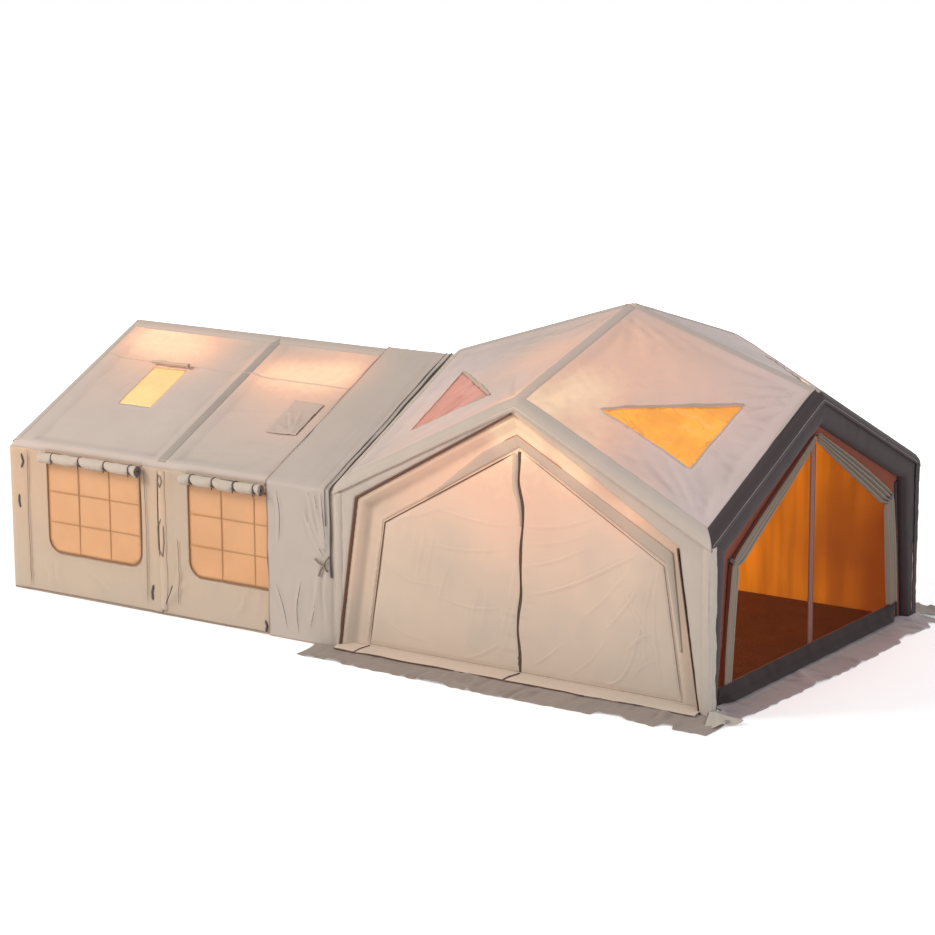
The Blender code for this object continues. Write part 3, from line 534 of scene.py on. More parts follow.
def piece(name, cloth, finish, stands_for=(), body="tent", slot=None, thick=None, lining=None,
          blended=None, share_light=1.0):
    mesh = bpy.data.meshes.new(name)
    mesh.from_pydata(cloth.points.tolist(), [], cloth.faces)
    mesh.shade_smooth()
    mesh.materials.append(finish_named(finish))
    glow = mesh.attributes.new("lamplight", "FLOAT", "POINT")
    glow.data.foreach_set("value", (share_light * lamplight(cloth.points)).astype(np.float32))
    made = bpy.data.objects.new(name, mesh)
    bpy.context.scene.collection.objects.link(made)
    if thick:
        mesh.materials.append(finish_named(lining or finish))
        solid = made.modifiers.new("thickness", "SOLIDIFY")
        solid.thickness = thick
        solid.offset = -1
        solid.material_offset = 1
    if blended:
        first, second, start, end = blended
        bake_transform(made)
        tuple(start)
        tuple(end)
    else:
        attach(made, body)
    if stands_for:
        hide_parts(*([stands_for] if isinstance(stands_for, str) else stands_for))
    return made


# Where things go


FRONT_AND_BACK = (("front", -1), ("back", 1))
ALONG_AND_OUT = {
    "front": ((1, 0), (0, -1)),
    "right": ((0, 1), (1, 0)),
    "back": ((-1, 0), (0, 1)),
    "left": ((0, -1), (-1, 0)),
}


def upright(side, line):
    """Puts u along a side of the hub, v up, and w out from it at a distance from the hub's middle."""
    (ax, ay), (ox, oy) = ALONG_AND_OUT[side]

    def place(u, v, w):
        out = line + w
        return np.stack([HUB_X + ax * u + ox * out, ay * u + oy * out, v + 0 * u], -1)

    return place


def on_ground(side):
    """Puts u along a side of the hub, v out from its middle and w up."""
    (ax, ay), (ox, oy) = ALONG_AND_OUT[side]

    def place(u, v, w):
        return np.stack([HUB_X + ax * u + ox * v, ay * u + oy * v, w + 0 * u], -1)

    return place


FOLD_SOFTNESS = 0.012


def hub_height(x, y):
    """The height of the hub's roof, with its folds a little rounded."""
    ax, ay = np.abs(x) / HALF, np.abs(y) / HALF
    upper = APEX - (APEX - SIDE_PEAK) * ax - (APEX - FRONT_PEAK) * ay
    lower = EAVE + (FRONT_PEAK - EAVE) * (1 - ax) + (SIDE_PEAK - EAVE) * (1 - ay)
    top = np.minimum(upper, lower)
    return top - FOLD_SOFTNESS * np.log(sum(np.exp((top - slope) / FOLD_SOFTNESS) for slope in (upper, lower)))


def rounding(distance):
    """How far a roof's edge curls down within its last few centimetres."""
    radius = sizes().edge_round
    inward = np.clip(radius - distance, 0, radius)
    return radius - np.sqrt(np.maximum(radius**2 - inward**2, 0))


# Creases are (height share, line) pairs: these are the folds of the hub's roof, in plan
ROOF_CREASES = [
    (0.9, ((-0.02, -0.24), (0.10, -0.30), (0.22, -0.33))),
    (1.1, ((-0.06, -0.17), (0.23, -0.31), (0.46, -0.37))),
    (1.0, ((-0.03, -0.13), (0.39, -0.25), (0.66, -0.32))),
    (0.8, ((0.03, -0.07), (0.47, -0.14), (0.80, -0.20))),
    (0.8, ((-1.19, -0.35), (-0.78, -0.58), (-0.35, -0.68))),
    (0.8, ((-1.07, -0.27), (-0.66, -0.44), (-0.30, -0.47))),
    (0.5, ((-0.95, -0.16), (-0.55, -0.30), (-0.25, -0.31))),
    (1.2, ((0.58, -1.85), (0.72, -1.77), (0.90, -1.58), (1.05, -1.40))),
    (1.0, ((0.58, -1.80), (0.80, -1.72), (1.05, -1.58), (1.20, -1.46))),
    (0.9, ((0.50, -1.55), (0.70, -1.48), (0.95, -1.42))),
    (1.1, ((0.86, -1.86), (1.05, -1.84), (1.38, -1.70))),
    (1.1, ((0.98, -1.86), (1.20, -1.84), (1.46, -1.76))),
    (0.8, ((0.74, -1.86), (0.95, -1.78), (1.22, -1.62))),
    (0.9, ((0.45, -1.52), (0.53, -1.47), (0.62, -1.46))),
    (0.8, ((1.45, -0.72), (1.58, -0.62), (1.72, -0.60))),
    (0.7, ((1.46, -0.95), (1.60, -0.85), (1.74, -0.84))),
    (0.8, ((1.48, -1.20), (1.62, -1.08), (1.76, -1.08))),
    (0.6, ((1.42, -0.50), (1.58, -0.38), (1.74, -0.36))),
]


def hub_lift(x, y):
    """Sag, beams and creases of the hub's roof."""
    to_ridge = np.minimum(np.abs(x), np.abs(y))
    to_edge = HALF - np.maximum(np.abs(x), np.abs(y))
    on_beam = np.maximum(1 - smooth_step(0.06, 0.17, to_ridge), 1 - smooth_step(0.12, 0.26, to_edge))
    open_cloth = 1 - on_beam
    lift = -sizes().sag * open_cloth
    depth = sizes().crease
    lift += depth * 1.6 * open_cloth * rays(x, y, (0, 0), -45, 7, 0.2, 1.2, 11)
    lift += depth * 1.0 * open_cloth * folds(x, y, 45, 0.12, 0.7, 21)
    lift += depth * 0.6 * open_cloth * folds(x, y, -20, 0.10, 0.5, 31)
    for cx, cy, towards in ((0, -HALF, 35), (HALF, 0, -125), (HALF, -HALF, 135)):
        seed = 40 + int(abs(cx * 7 + cy * 3))
        lift += depth * 1.2 * open_cloth * rays(x, y, (cx, cy), towards, 5, 0.3, 1.2, seed)
    lift += depth * 1.6 * (0.35 + 0.65 * open_cloth) * creased(x, y, ROOF_CREASES, 0.017)
    lift += 0.003 * soft_noise(x, y, 0.12, 0.12, 55) * (0.3 + open_cloth)
    seam = [(1, ((1.40, -1.39), (1.44, -1.60), (1.44, -HALF)))]
    lift += sizes().seam * creased(x, y, seam, 0.014)
    return lift - rounding(to_edge)


def on_hub_roof(lift=0.0):
    """Puts u and v on the hub's roof as x and y, with w up from the cloth."""

    def place(u, v, w):
        return np.stack([HUB_X + u, v, hub_height(u, v) + hub_lift(u, v) + lift + w], -1)

    return place


def annex_height(y):
    """The height of the annex's roof."""
    return ANNEX_RIDGE - (ANNEX_RIDGE - ANNEX_EAVE) * np.abs(y) / ANNEX_HALF


# The seam along the annex's front slope
ANNEX_SEAMS = [(1, ((ANNEX_OUTER + 0.1, -0.52), (-4.3, -0.54), (ANNEX_INNER, -0.56)))]
# Folds of the flap over the inner skylight
FLAP_FOLDS = [
    (1.0, ((-2.86, -1.24), (-2.98, -1.10), (-3.10, -0.95))),
    (1.0, ((-2.86, -1.24), (-2.92, -1.08), (-2.98, -0.92))),
    (1.1, ((-2.86, -1.24), (-2.84, -1.08), (-2.80, -0.95))),
    (0.8, ((-2.86, -1.24), (-3.02, -1.18), (-3.12, -1.14))),
    (0.7, ((-2.86, -1.24), (-2.88, -1.34), (-2.92, -1.45))),
]


def annex_lift(x, y):
    """Sag, beams and creases of the annex's roof."""
    to_arch = np.min([np.abs(x - arch) for arch in (END_ARCH, MIDDLE_ARCH, INNER_ARCH)], axis=0)
    to_edge = np.minimum(x - ANNEX_OUTER, ANNEX_HALF - np.abs(y))
    on_beam = np.maximum(1 - smooth_step(0.08, 0.18, to_arch), 1 - smooth_step(0.05, 0.16, np.abs(y)))
    on_beam = np.maximum(on_beam, 1 - smooth_step(0.04, 0.14, to_edge))
    open_cloth = 1 - on_beam
    depth = sizes().crease
    lift = -sizes().sag * 0.8 * open_cloth
    lift += depth * 0.7 * open_cloth * folds(x, y, 4, 0.14, 1.0, 61)
    lift += depth * 0.5 * open_cloth * folds(x, y, 60, 0.12, 0.6, 71)
    lift += 0.002 * soft_noise(x, y, 0.15, 0.12, 75) * (0.3 + open_cloth)
    lift += sizes().seam * creased(x, y, ANNEX_SEAMS, 0.012)
    return lift - rounding(to_edge)


def on_annex_roof(lift=0.0):
    """Puts u and v on the annex's roof as x and y, with w up from the cloth."""

    def place(u, v, w):
        return np.stack([HUB_X + u, v, annex_height(v) + annex_lift(u, v) + lift + w], -1)

    return place


def box_line(left, right, bottom, top):
    return [(left, bottom), (right, bottom), (right, top), (left, top)]


def mirrored(line):
    return [(-u, v) for u, v in reversed(line)]


def gable_line(peak, half, drop):
    """A gable's outline from foot to foot."""
    return [(-half, 0), (-half, EAVE - drop), (0, peak - drop), (half, EAVE - drop), (half, 0)]


# Materials


def feed(node, inputs):
    """Sets inputs of a node, each to a value or to the socket that it is linked from."""
    for key, value in inputs.items():
        if isinstance(value, bpy.types.NodeSocket):
            node.id_data.links.new(value, node.inputs[key])
        else:
            node.inputs[key].default_value = value


def add(tree, kind, inputs=(), out=0, **settings):
    """Adds one node with its settings and links, and gives one of its outputs."""
    made = tree.nodes.new("ShaderNode" + kind)
    for key, value in settings.items():
        setattr(made, key, value)
    feed(made, inputs if isinstance(inputs, dict) else dict(enumerate(inputs)))
    return made.outputs[out]


def blank(name, **sockets):
    """A material with only its shader, whose uniform values are set on the sockets."""
    made = bpy.data.materials.new(name)
    made.use_nodes = True
    shader = made.node_tree.nodes["Principled BSDF"]
    feed(shader, {key.replace("_", " "): value for key, value in sockets.items()})
    return made, made.node_tree, shader


def shade(rgb, factor=1.0):
    return (*[min(1.0, c * factor) for c in rgb], 1)


def blotches(tree, scale, detail=3.0, stretch=(1.0, 1.0, 1.0)):
    """Cloudy variation, scale times a metre."""
    place = add(tree, "TexCoord", out="Object")
    place = add(tree, "VectorMath", [place, stretch], operation="MULTIPLY")
    return add(tree, "TexNoise", {"Vector": place, "Scale": scale, "Detail": detail}, "Fac")


def threads(tree, spacing):
    """Crossing threads, as heights from 0 to 1, at a real spacing in metres."""
    split = add(tree, "SeparateXYZ", [add(tree, "TexCoord", out="Object")]).node.outputs
    total = 0.0
    for axis in "XYZ":
        turned = add(tree, "Math", [split[axis], 2 * math.pi / spacing], operation="MULTIPLY")
        wave = add(tree, "Math", [turned], operation="SINE")
        total = add(tree, "Math", [wave, total], operation="ADD")
    return add(tree, "MapRange", [total, -3.0, 3.0])


def layered(tree, base, layers):
    """A colour with others laid over it: each with its pattern, the range that shows how much, and its colour."""
    for pattern, spread, over in layers:
        share = add(tree, "MapRange", [pattern, *spread])
        base = add(tree, "Mix", {0: share, 6: base, 7: over}, 2, data_type="RGBA")
    return base


def woven_canvas(name, rgb, glow=1.0, dust=0.15, worn=0.3):
    """Polycotton canvas, woven and dyed: matt and soft, a little cloudy, dusty by the ground.

    Where a little lamplight comes through, it turns peach, and where much does, cream. Its creases get
    painted shade in their hollows and a painted highlight on their crests. The weave is drawn coarser than
    real, 6 mm, so that it shows.
    """
    made, tree, shader = blank(name, Roughness=0.9, Sheen_Weight=0.1, Sheen_Roughness=0.6, Specular_IOR_Level=0.2)
    fine = blotches(tree, 14.0)
    hollows_and_crests = add(tree, "NewGeometry", out="Pointiness")
    rise = add(tree, "SeparateXYZ", [add(tree, "TexCoord", out="Object")], "Z")
    ragged = add(tree, "MapRange", [fine, 0.3, 0.7, -0.08, 0.08])
    dusty = add(tree, "Math", [rise, ragged], operation="ADD")
    uneven = add(tree, "MapRange", [fine, 0.2, 0.8, 0.86, 1.08])
    light = add(tree, "Attribute", out="Fac", attribute_name="lamplight")
    light = add(tree, "Math", [light, uneven], operation="MULTIPLY")
    drifts = 1.0 if glow else 0.0
    base = layered(tree, shade(rgb, 0.95), [
        (blotches(tree, 1.7), (0.35, 0.65), shade(rgb, 1.04)),
        (fine, (0.3, 0.7, 0.0, 0.5), shade(rgb, 0.96)),
        (blotches(tree, 0.9), (0.45, 0.62, 0.0, 0.4 * drifts), shade(colours().drift)),
        # Painted shade in the creases' hollows; the next layer is a painted highlight on their crests
        (hollows_and_crests, (0.46, 0.498, worn * 2, 0.0), shade(rgb, 0.5)),
        (hollows_and_crests, (0.505, 0.55, 0.0, worn), shade(rgb, 1.2)),
        (dusty, (0.28, 0.0, 0.0, dust), shade(rgb, 0.66)),
        (rise, (1.0, 0.1, 0.0, 0.5 * drifts), shade(colours().drift, 1.12)),
        (light, (0.0, 0.6, 0.0, 0.85 * glow), shade(colours().peach)),
        (light, (0.55, 1.0, 0.0, 0.9 * glow), shade(colours().glow)),
    ])
    lit = layered(tree, (0, 0, 0, 1), [(light, (0.0, 1.0), shade(colours().glow))])
    rough = add(tree, "Math", [threads(tree, sizes().weave), fine], operation="ADD")
    bump = add(tree, "Bump", {"Height": rough, "Strength": 0.3, "Distance": 0.001})
    feed(shader, {"Base Color": base, "Emission Color": lit, "Emission Strength": 0.12 * glow, "Normal": bump})
    return made


def lamplit_lining(name, rgb, strength):
    """The inside of polycotton canvas in lamplight: warm, brighter by the lamp at the hub's left, woven."""
    made, tree, shader = blank(name, Roughness=0.9)
    split = add(tree, "SeparateXYZ", [add(tree, "TexCoord", out="Object")]).node.outputs
    away = add(tree, "MapRange", [split["X"], HUB_X + 0.1, HUB_X + 1.7])
    for pattern, spread in ((split["Z"], (1.3, 0.5, -0.16, 0.16)), (blotches(tree, 1.4), (0.3, 0.7, -0.12, 0.12))):
        away = add(tree, "Math", [away, add(tree, "MapRange", [pattern, *spread])], operation="ADD")
    shaded = colours().lining_shade
    base = layered(tree, shade(rgb), [
        (away, (0.0, 1.0), shade(shaded)),
        # Darker vertical streaks: painted shade of the lining's hanging folds
        (blotches(tree, 1.0, 2.0, (5.0, 5.0, 0.5)), (0.42, 0.6, 0.0, 0.45), shade(shaded, 0.8)),
    ])
    bump = add(tree, "Bump", {"Height": blotches(tree, 60.0), "Strength": 0.03, "Distance": 0.001})
    feed(shader, {"Base Color": base, "Emission Color": base, "Emission Strength": strength, "Normal": bump})
    return made


def frosted_film(name, rgb, strength, cloud=0.08, lines=0.0):
    """Calendered TPU film, frosted: smooth, soft gloss, lit from behind in broad patches, fine creases in painted
    shade.
    """
    made, tree, shader = blank(name, Roughness=0.35, Coat_Weight=0.1, Coat_Roughness=0.3)
    level = blotches(tree, 1.2, 1.5, (2.2, 6.0, 2.2))
    off = add(tree, "Math", [level, 0.5], operation="SUBTRACT")
    off = add(tree, "Math", [off], operation="ABSOLUTE")
    base = layered(tree, shade(rgb, 1 - cloud), [
        (blotches(tree, 3.0, 4.0), (0.38, 0.62), shade(rgb, 1 + cloud)),
        # Thin darker lines: painted shade along fine creases
        (off, (0.002, 0.012, lines, 0.0), shade(rgb, 0.72)),
    ])
    bump = add(tree, "Bump", {"Height": blotches(tree, 9.0, 2.0), "Strength": 0.3, "Distance": 0.003})
    feed(shader, {"Base Color": base, "Emission Color": base, "Emission Strength": strength, "Normal": bump})
    return made


def knitted_net(name, rgb):
    """Polyester insect net, knitted: a dark haze through which the inside shows. Its cells are drawn coarse."""
    made, tree, shader = blank(name, Roughness=0.9, Alpha=0.10)
    weave = threads(tree, sizes().weave)
    feed(shader, {"Base Color": layered(tree, shade(rgb, 0.6), [(weave, (0.3, 0.7), shade(rgb, 1.2))])})
    return made


def coated_sheet(name, rgb):
    """Polyethylene tarpaulin, woven and coated: slightly glossy, a grid of tapes, scuffed, faintly glowing as
    painted lamplight.
    """
    made, tree, shader = blank(name, Roughness=0.75, Specular_IOR_Level=0.25, Emission_Strength=0.2)
    base = layered(tree, shade(rgb, 0.75), [(blotches(tree, 5.0, 6.0), (0.3, 0.7), shade(rgb, 1.15))])
    bump = add(tree, "Bump", {"Height": threads(tree, sizes().weave * 2), "Strength": 0.4, "Distance": 0.001})
    # The emission is a painted glow that stands for the lamplight on the groundsheet
    feed(shader, {"Base Color": base, "Emission Color": base, "Normal": bump})
    return made


def woven_tape(name, rgb, spacing=0.004):
    """Nylon webbing, tape and binding, woven: tight ribs with a low sheen."""
    made, tree, shader = blank(name, Roughness=0.7, Sheen_Weight=0.2)
    ribs = threads(tree, spacing)
    base = layered(tree, shade(rgb, 0.75), [
        (ribs, (0.3, 0.7), shade(rgb, 1.15)),
        (blotches(tree, 12.0), (0.35, 0.65, 0.0, 0.4), shade(rgb, 0.8)),
    ])
    bump = add(tree, "Bump", {"Height": ribs, "Strength": 0.5, "Distance": 0.0008})
    feed(shader, {"Base Color": base, "Normal": bump})
    return made


def moulded_nylon(name, rgb):
    """Glass-filled nylon, moulded: dark, satin, with a fine spark-eroded grain."""
    made, tree, shader = blank(name)
    grain = blotches(tree, 900.0, 2.0)
    base = layered(tree, shade(rgb, 0.85), [(blotches(tree, 30.0), (0.0, 1.0), shade(rgb, 1.2))])
    rough = add(tree, "MapRange", [grain, 0.3, 0.7, 0.38, 0.55])
    bump = add(tree, "Bump", {"Height": grain, "Strength": 0.3, "Distance": 0.0003})
    feed(shader, {"Base Color": base, "Roughness": rough, "Normal": bump})
    return made


def cast_zinc(name, rgb):
    """Zinc, die-cast and tumbled: dull grey metal with fine scratches."""
    made, tree, shader = blank(name, Metallic=1.0)
    scratches = blotches(tree, 220.0, 6.0)
    base = layered(tree, shade(rgb, 0.8), [(scratches, (0.0, 1.0), shade(rgb, 1.25))])
    feed(shader, {"Base Color": base, "Roughness": add(tree, "MapRange", [scratches, 0.3, 0.7, 0.3, 0.55])})
    return made


# Each finish has the colour of its own name: what makes it, its material's name, and values after the colour
FINISHES = {
    "roof": (woven_canvas, "stone_polycotton_canvas_woven"),
    "hub_roof": (woven_canvas, "blush_polycotton_canvas_woven"),
    "ridge": (woven_canvas, "grey_polycotton_canvas_woven", 0.5),
    "wall": (woven_canvas, "sand_polycotton_canvas_woven"),
    "door": (woven_canvas, "rose_sand_polycotton_canvas_woven"),
    "arch": (woven_canvas, "pale_polycotton_canvas_woven", 0.25),
    "surround": (woven_canvas, "peach_polycotton_canvas_woven"),
    "trim": (woven_canvas, "mauve_polycotton_canvas_woven", 0.4),
    "arch_band": (woven_canvas, "ash_polycotton_canvas_woven", 0.3),
    "sleeve": (woven_canvas, "clay_polycotton_canvas_woven", 0.5),
    "dark": (woven_canvas, "charcoal_polycotton_canvas_woven", 0.0, 0.2),
    "sill": (woven_canvas, "umber_polycotton_canvas_woven", 0.0, 0.2),
    "skirt": (woven_canvas, "grey_pvc_coated_canvas_woven", 0.0, 0.1),
    "dark_skirt": (woven_canvas, "mauve_pvc_coated_canvas_woven", 0.0, 0.1),
    "curtain": (woven_canvas, "taupe_polycotton_canvas_woven", 0.0, 0.1),
    "rust": (woven_canvas, "rust_polycotton_canvas_woven", 0.0, 0.1),
    "lining": (lamplit_lining, "lamplit_canvas_lining_woven", 1.05),
    "film": (frosted_film, "frosted_tpu_film_calendered", 0.10, 0.03),
    "amber": (frosted_film, "amber_tpu_film_calendered", 0.42, 0.12, 0.8),
    "rose": (frosted_film, "rose_tpu_film_calendered", 0.14, 0.08, 0.6),
    "lemon": (frosted_film, "lemon_tpu_film_calendered", 0.22, 0.05),
    "net": (knitted_net, "polyester_insect_net_knitted"),
    "floor": (coated_sheet, "brown_pe_tarpaulin_coated"),
    "zip_tape": (woven_tape, "rust_nylon_zip_tape_woven"),
    "zip_edge": (woven_tape, "brown_nylon_zip_tape_woven"),
    "dark_zip": (woven_tape, "brown_nylon_zip_coil_woven", 0.005),
    "binding": (woven_tape, "brown_polyester_binding_woven"),
    "piping": (woven_tape, "orange_polyester_piping_braided"),
    "window_piping": (woven_tape, "tan_polyester_binding_woven"),
    "muntin": (woven_tape, "cream_polyester_tape_woven"),
    "webbing": (woven_tape, "khaki_nylon_webbing_woven"),
    "tie": (woven_tape, "charcoal_nylon_webbing_woven"),
    "plastic": (moulded_nylon, "black_nylon_moulded"),
    "metal": (cast_zinc, "grey_zinc_die_cast"),
}
_made_finishes = {}


def finish_named(key):
    """The finish of one name, made the first time that it is asked for."""
    if key not in _made_finishes:
        make, name, *values = FINISHES[key]
        _made_finishes[key] = make(name, getattr(colours(), key), *values)
    return _made_finishes[key]


def refinish(node, finish):
    """Gives a carried-over node a better finish."""
    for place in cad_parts[node].material_slots:
        place.material = finish_named(finish)


# Air beams


def air_beam(name, corners, seed, radii=0.088, finish="arch", slot="beam_sleeve_canvas"):
    """An air beam's sleeve: round, pinched into small pleats where it bends. It has a radius for each corner."""
    path = smoothed(divided(corners, 0.05), 3)
    around = 16
    turns = np.linspace(0, 2 * math.pi, around, endpoint=False)
    along = np.cumsum(np.r_[0, np.linalg.norm(np.diff(path, axis=0), axis=1)])
    bend = np.zeros(len(path))
    for corner in corners[1:-1]:
        bend = np.maximum(bend, np.exp(-((np.linalg.norm(path - np.array(corner), axis=1) / 0.12) ** 2)))
    grown = np.repeat(along[:, None], around, 1)
    wave = soft_noise(grown, np.repeat(turns[None], len(path), 0), 0.05, 0.9, seed + 90)
    stops = np.cumsum(np.r_[0, np.linalg.norm(np.diff(np.array(corners, float), axis=0), axis=1)])
    radius = np.interp(along / along[-1], stops / stops[-1], np.broadcast_to(radii, len(corners)))[:, None]
    reach = radius * (1 + 0.012 * wave + 0.05 * wave * bend[:, None])
    piece(name + "_sleeve", tube(path, reach, around), finish, name, slot=slot)


def from_hub(x, y, z):
    return (HUB_X + x, y, z)


def make_hub_beams():
    line, eave = BEAM_LINE, EAVE - 0.01
    for name, north in (("hub_front_arch", -1), ("hub_back_arch", 1)):
        foot = line + 0.078
        corners = [(-foot, 0), (-line, eave), (0, FRONT_PEAK - 0.075), (line, eave), (foot, 0)]
        corners = [from_hub(x, north * (line + (0.03 if z < eave else 0)), max(z, 0.004)) for x, z in corners]
        air_beam(name, corners, north, (0.018, 0.078, 0.048, 0.078, 0.018))
    for name, east, looks in (
        ("hub_left_rafters", -1, {}), ("hub_right_rafters", 1, {"finish": "dark", "slot": "dark_canvas"}),
    ):
        corners = [from_hub(east * line, y, z) for y, z in ((-line, eave), (0, SIDE_PEAK - 0.10), (line, eave))]
        air_beam(name, corners, 3 + east, (0.078, 0.070, 0.078), **looks)
    top, front, side = APEX - 0.13, FRONT_PEAK - 0.16, SIDE_PEAK - 0.16
    corners = [from_hub(-line + 0.1, 0, side), from_hub(0, 0, top), from_hub(line - 0.1, 0, side)]
    air_beam("hub_ridge_beam", corners, 5)
    for name, north in (("hub_front_ridge_beam", -1), ("hub_back_ridge_beam", 1)):
        corners = [from_hub(0, north * (line - 0.1), front), from_hub(0, north * 0.1, top - 0.03)]
        air_beam(name, corners, 7 + north)


def make_annex_beams():
    line, eave, peak = high("annex_end_arch").y - BEAM, ANNEX_EAVE - 0.07, ANNEX_RIDGE - 0.13
    for name, x in (("end", END_ARCH), ("middle", MIDDLE_ARCH), ("inner", INNER_ARCH)):
        corners = [(-line, 0.004), (-line, eave), (0, peak), (line, eave), (line, 0.004)]
        air_beam("annex_%s_arch" % name, [from_hub(x, y, z) for y, z in corners], 11)
    for name, start, end in (("outer", END_ARCH, MIDDLE_ARCH), ("inner", MIDDLE_ARCH, INNER_ARCH)):
        air_beam("annex_%s_ridge_beam" % name, [from_hub(start + 0.1, 0, peak), from_hub(end - 0.1, 0, peak)], 13)


# Hub roof


QUARTERS = {"front_right": (1, -1), "front_left": (-1, -1), "back_right": (1, 1), "back_left": (-1, 1)}
SKYLIGHT_HALF = 0.61
SKYLIGHT_TOP, SKYLIGHT_POINT = 0.07, 0.64  # from the middle of the roof's fold towards the corner


def skylight_line(east, north, grow=0.0):
    """The triangle of one quarter's skylight, in plan."""
    middle = np.array([east, north]) * HALF / 2
    out = np.array([east, north]) / math.sqrt(2)
    along = np.array([-out[1], out[0]]) * (SKYLIGHT_HALF + 2 * grow)
    top, point = middle + out * (SKYLIGHT_TOP - grow), middle + out * (SKYLIGHT_POINT + 1.4 * grow)
    return [tuple(corner) for corner in (top - along, point, top + along)]


SKYLIGHT_FILMS = {"front_right": "amber", "front_left": "rose", "back_right": "amber", "back_left": "amber"}
# Creases of the hub's skylight films, in plan
FILM_CREASES = [
    (1.2, ((1.17, -1.40), (1.20, -1.03), (1.24, -0.80))),
    (0.9, ((1.05, -1.20), (1.22, -1.12), (1.38, -1.12))),
    (0.9, ((0.98, -1.08), (1.20, -0.98), (1.40, -0.97))),
    (0.8, ((1.14, -0.90), (1.28, -0.80), (1.40, -0.80))),
    (0.7, ((-1.10, -1.50), (-1.00, -1.28), (-0.86, -1.20))),
    (0.7, ((-1.22, -1.20), (-1.08, -1.12), (-0.90, -1.22))),
]


def make_hub_roof():
    for quarter, (east, north) in QUARTERS.items():
        outline = [(0, 0), (east * HALF, 0), (east * HALF, north * HALF), (0, north * HALF)]
        fold = [(0, north * HALF), (east * HALF, 0)]
        hole = skylight_line(east, north)
        step = sizes().mesh_step if north < 0 else sizes().plain_step
        roof = cut(outline, on_hub_roof(), [hole], step, lines=[fold])
        name = "hub_roof_%s_cloth" % quarter
        piece(name, roof, "hub_roof", "hub_roof_" + quarter, slot="roof_canvas",
              thick=sizes().canvas, lining="lining")

        def relief(u, v):
            return 0.016 * creased(u, v, FILM_CREASES, 0.035) + 0.005 * soft_noise(u, v, 0.07, 0.2, 77)

        pane = cut(hole, on_hub_roof(-0.003), (), 0.022, relief=relief, held=0.03)
        piece("hub_skylight_%s_film" % quarter, pane, SKYLIGHT_FILMS[quarter], "hub_skylight_" + quarter,
              slot="amber_film", thick=sizes().sheer)
        rim = band(*[line + line[:1] for line in (skylight_line(east, north, 0.010), hole)], on_hub_roof(0.001),
                   [(0, 0), (0.3, 0.003), (1, 0.002)])
        piece("hub_skylight_%s_binding" % quarter, rim, "ridge", thick=0.001)
        make_skylight_flap(quarter, east, north)


def make_skylight_flap(quarter, east, north):
    """The narrow gathered flap along the upper edge of a skylight."""
    first, _, last = [np.array(corner) for corner in skylight_line(east, north, 0.004)]
    inward = -np.array([east, north]) / math.sqrt(2)
    shares = np.linspace(0, 1, 60)
    width = 0.030 * (0.55 + 0.45 * np.sin(math.pi * shares)) + 0.006 * np.sin(shares * 31) * np.sin(shares * 12)
    rows = []
    for turn in np.linspace(0, 1, 9):
        line = first + (last - first) * shares[:, None] + inward * (width * (turn - 0.15))[:, None]
        crown = 0.018 * math.sin(math.pi * turn) * (0.6 + 0.4 * soft_noise(shares * 9, shares * 0 + turn, 1, 1, 91))
        rows.append(on_hub_roof(0.002)(*line.T, crown))
    piece("hub_skylight_%s_flap" % quarter, skin(rows, UPWARD), "trim", thick=0.0015, share_light=0.2)


def make_ridge_bands():
    # These darker bands are painted shade, where the beams under the roof block the lamplight
    crown = [(0, 0.001), (0.08, 0.004), (0.5, 0.006), (0.92, 0.004), (1, 0.001)]
    half, start, end = 0.06, 0.05, HALF - 0.04
    for name, (x, y) in {"front": (0, -1), "back": (0, 1), "right": (1, 0), "left": (-1, 0)}.items():
        lines = [[(abs(y) * side + x * reach, abs(x) * side + y * reach) for reach in (start, end)]
                 for side in (-half, half)]
        strip = band(*lines, on_hub_roof(), crown)
        piece("ridge_band_" + name, strip, "ridge", thick=0.001, share_light=0.4)


# How far a gable's sleeve stands out of its wall, across its width from the roof's edge to the recess
FASCIA = [
    (0, 0.074), (0.15, 0.078), (0.32, 0.086), (0.62, 0.089), (0.86, 0.087), (0.95, 0.078), (0.98, 0.04), (1, 0.002),
]
# Each gable's recess, inside its sleeve, from foot to foot
RECESS = {
    "front": [(-1.868, 0), (-1.655, 1.40), (-0.03, 2.325), (1.57, 1.395), (1.79, 0)],
    "back": [(-1.80, 0), (-1.60, 1.40), (0, 2.30), (1.60, 1.40), (1.80, 0)],
    "right": [(-1.74, 0), (-1.62, 1.345), (0, 2.125), (1.62, 1.345), (1.74, 0)],
    "left": [(-1.74, 0), (-1.62, 1.345), (0, 2.125), (1.62, 1.345), (1.74, 0)],
}
SLEEVE_FINISHES = {"front": "arch", "back": "arch", "right": "dark", "left": "arch"}


def make_fascias():
    """Flat sleeves over the gables' beams, from the roof's edge back to the wall."""
    depth = sizes().crease
    for side, finish in SLEEVE_FINISHES.items():
        peak = FRONT_PEAK if side in ("front", "back") else SIDE_PEAK

        def relief(u, v, seed=len(side)):
            lift = 0.002 * soft_noise(u, v, 0.08, 0.14, seed + 9) + depth * 0.3 * folds(u, v, 80, 0.09, 0.5, seed)
            lift += depth * (0.6 if side == "right" else 0.2) * folds(u, v, 30 * np.sign(-u), 0.10, 0.6, seed + 3)
            return np.minimum(lift, 0.006)

        fascia = band(gable_line(peak, HALF - 0.012, 0.02), RECESS[side], upright(side, WALL - 0.004), FASCIA,
                      relief=relief)
        piece("gable_sleeve_" + side, fascia, finish, thick=sizes().canvas)


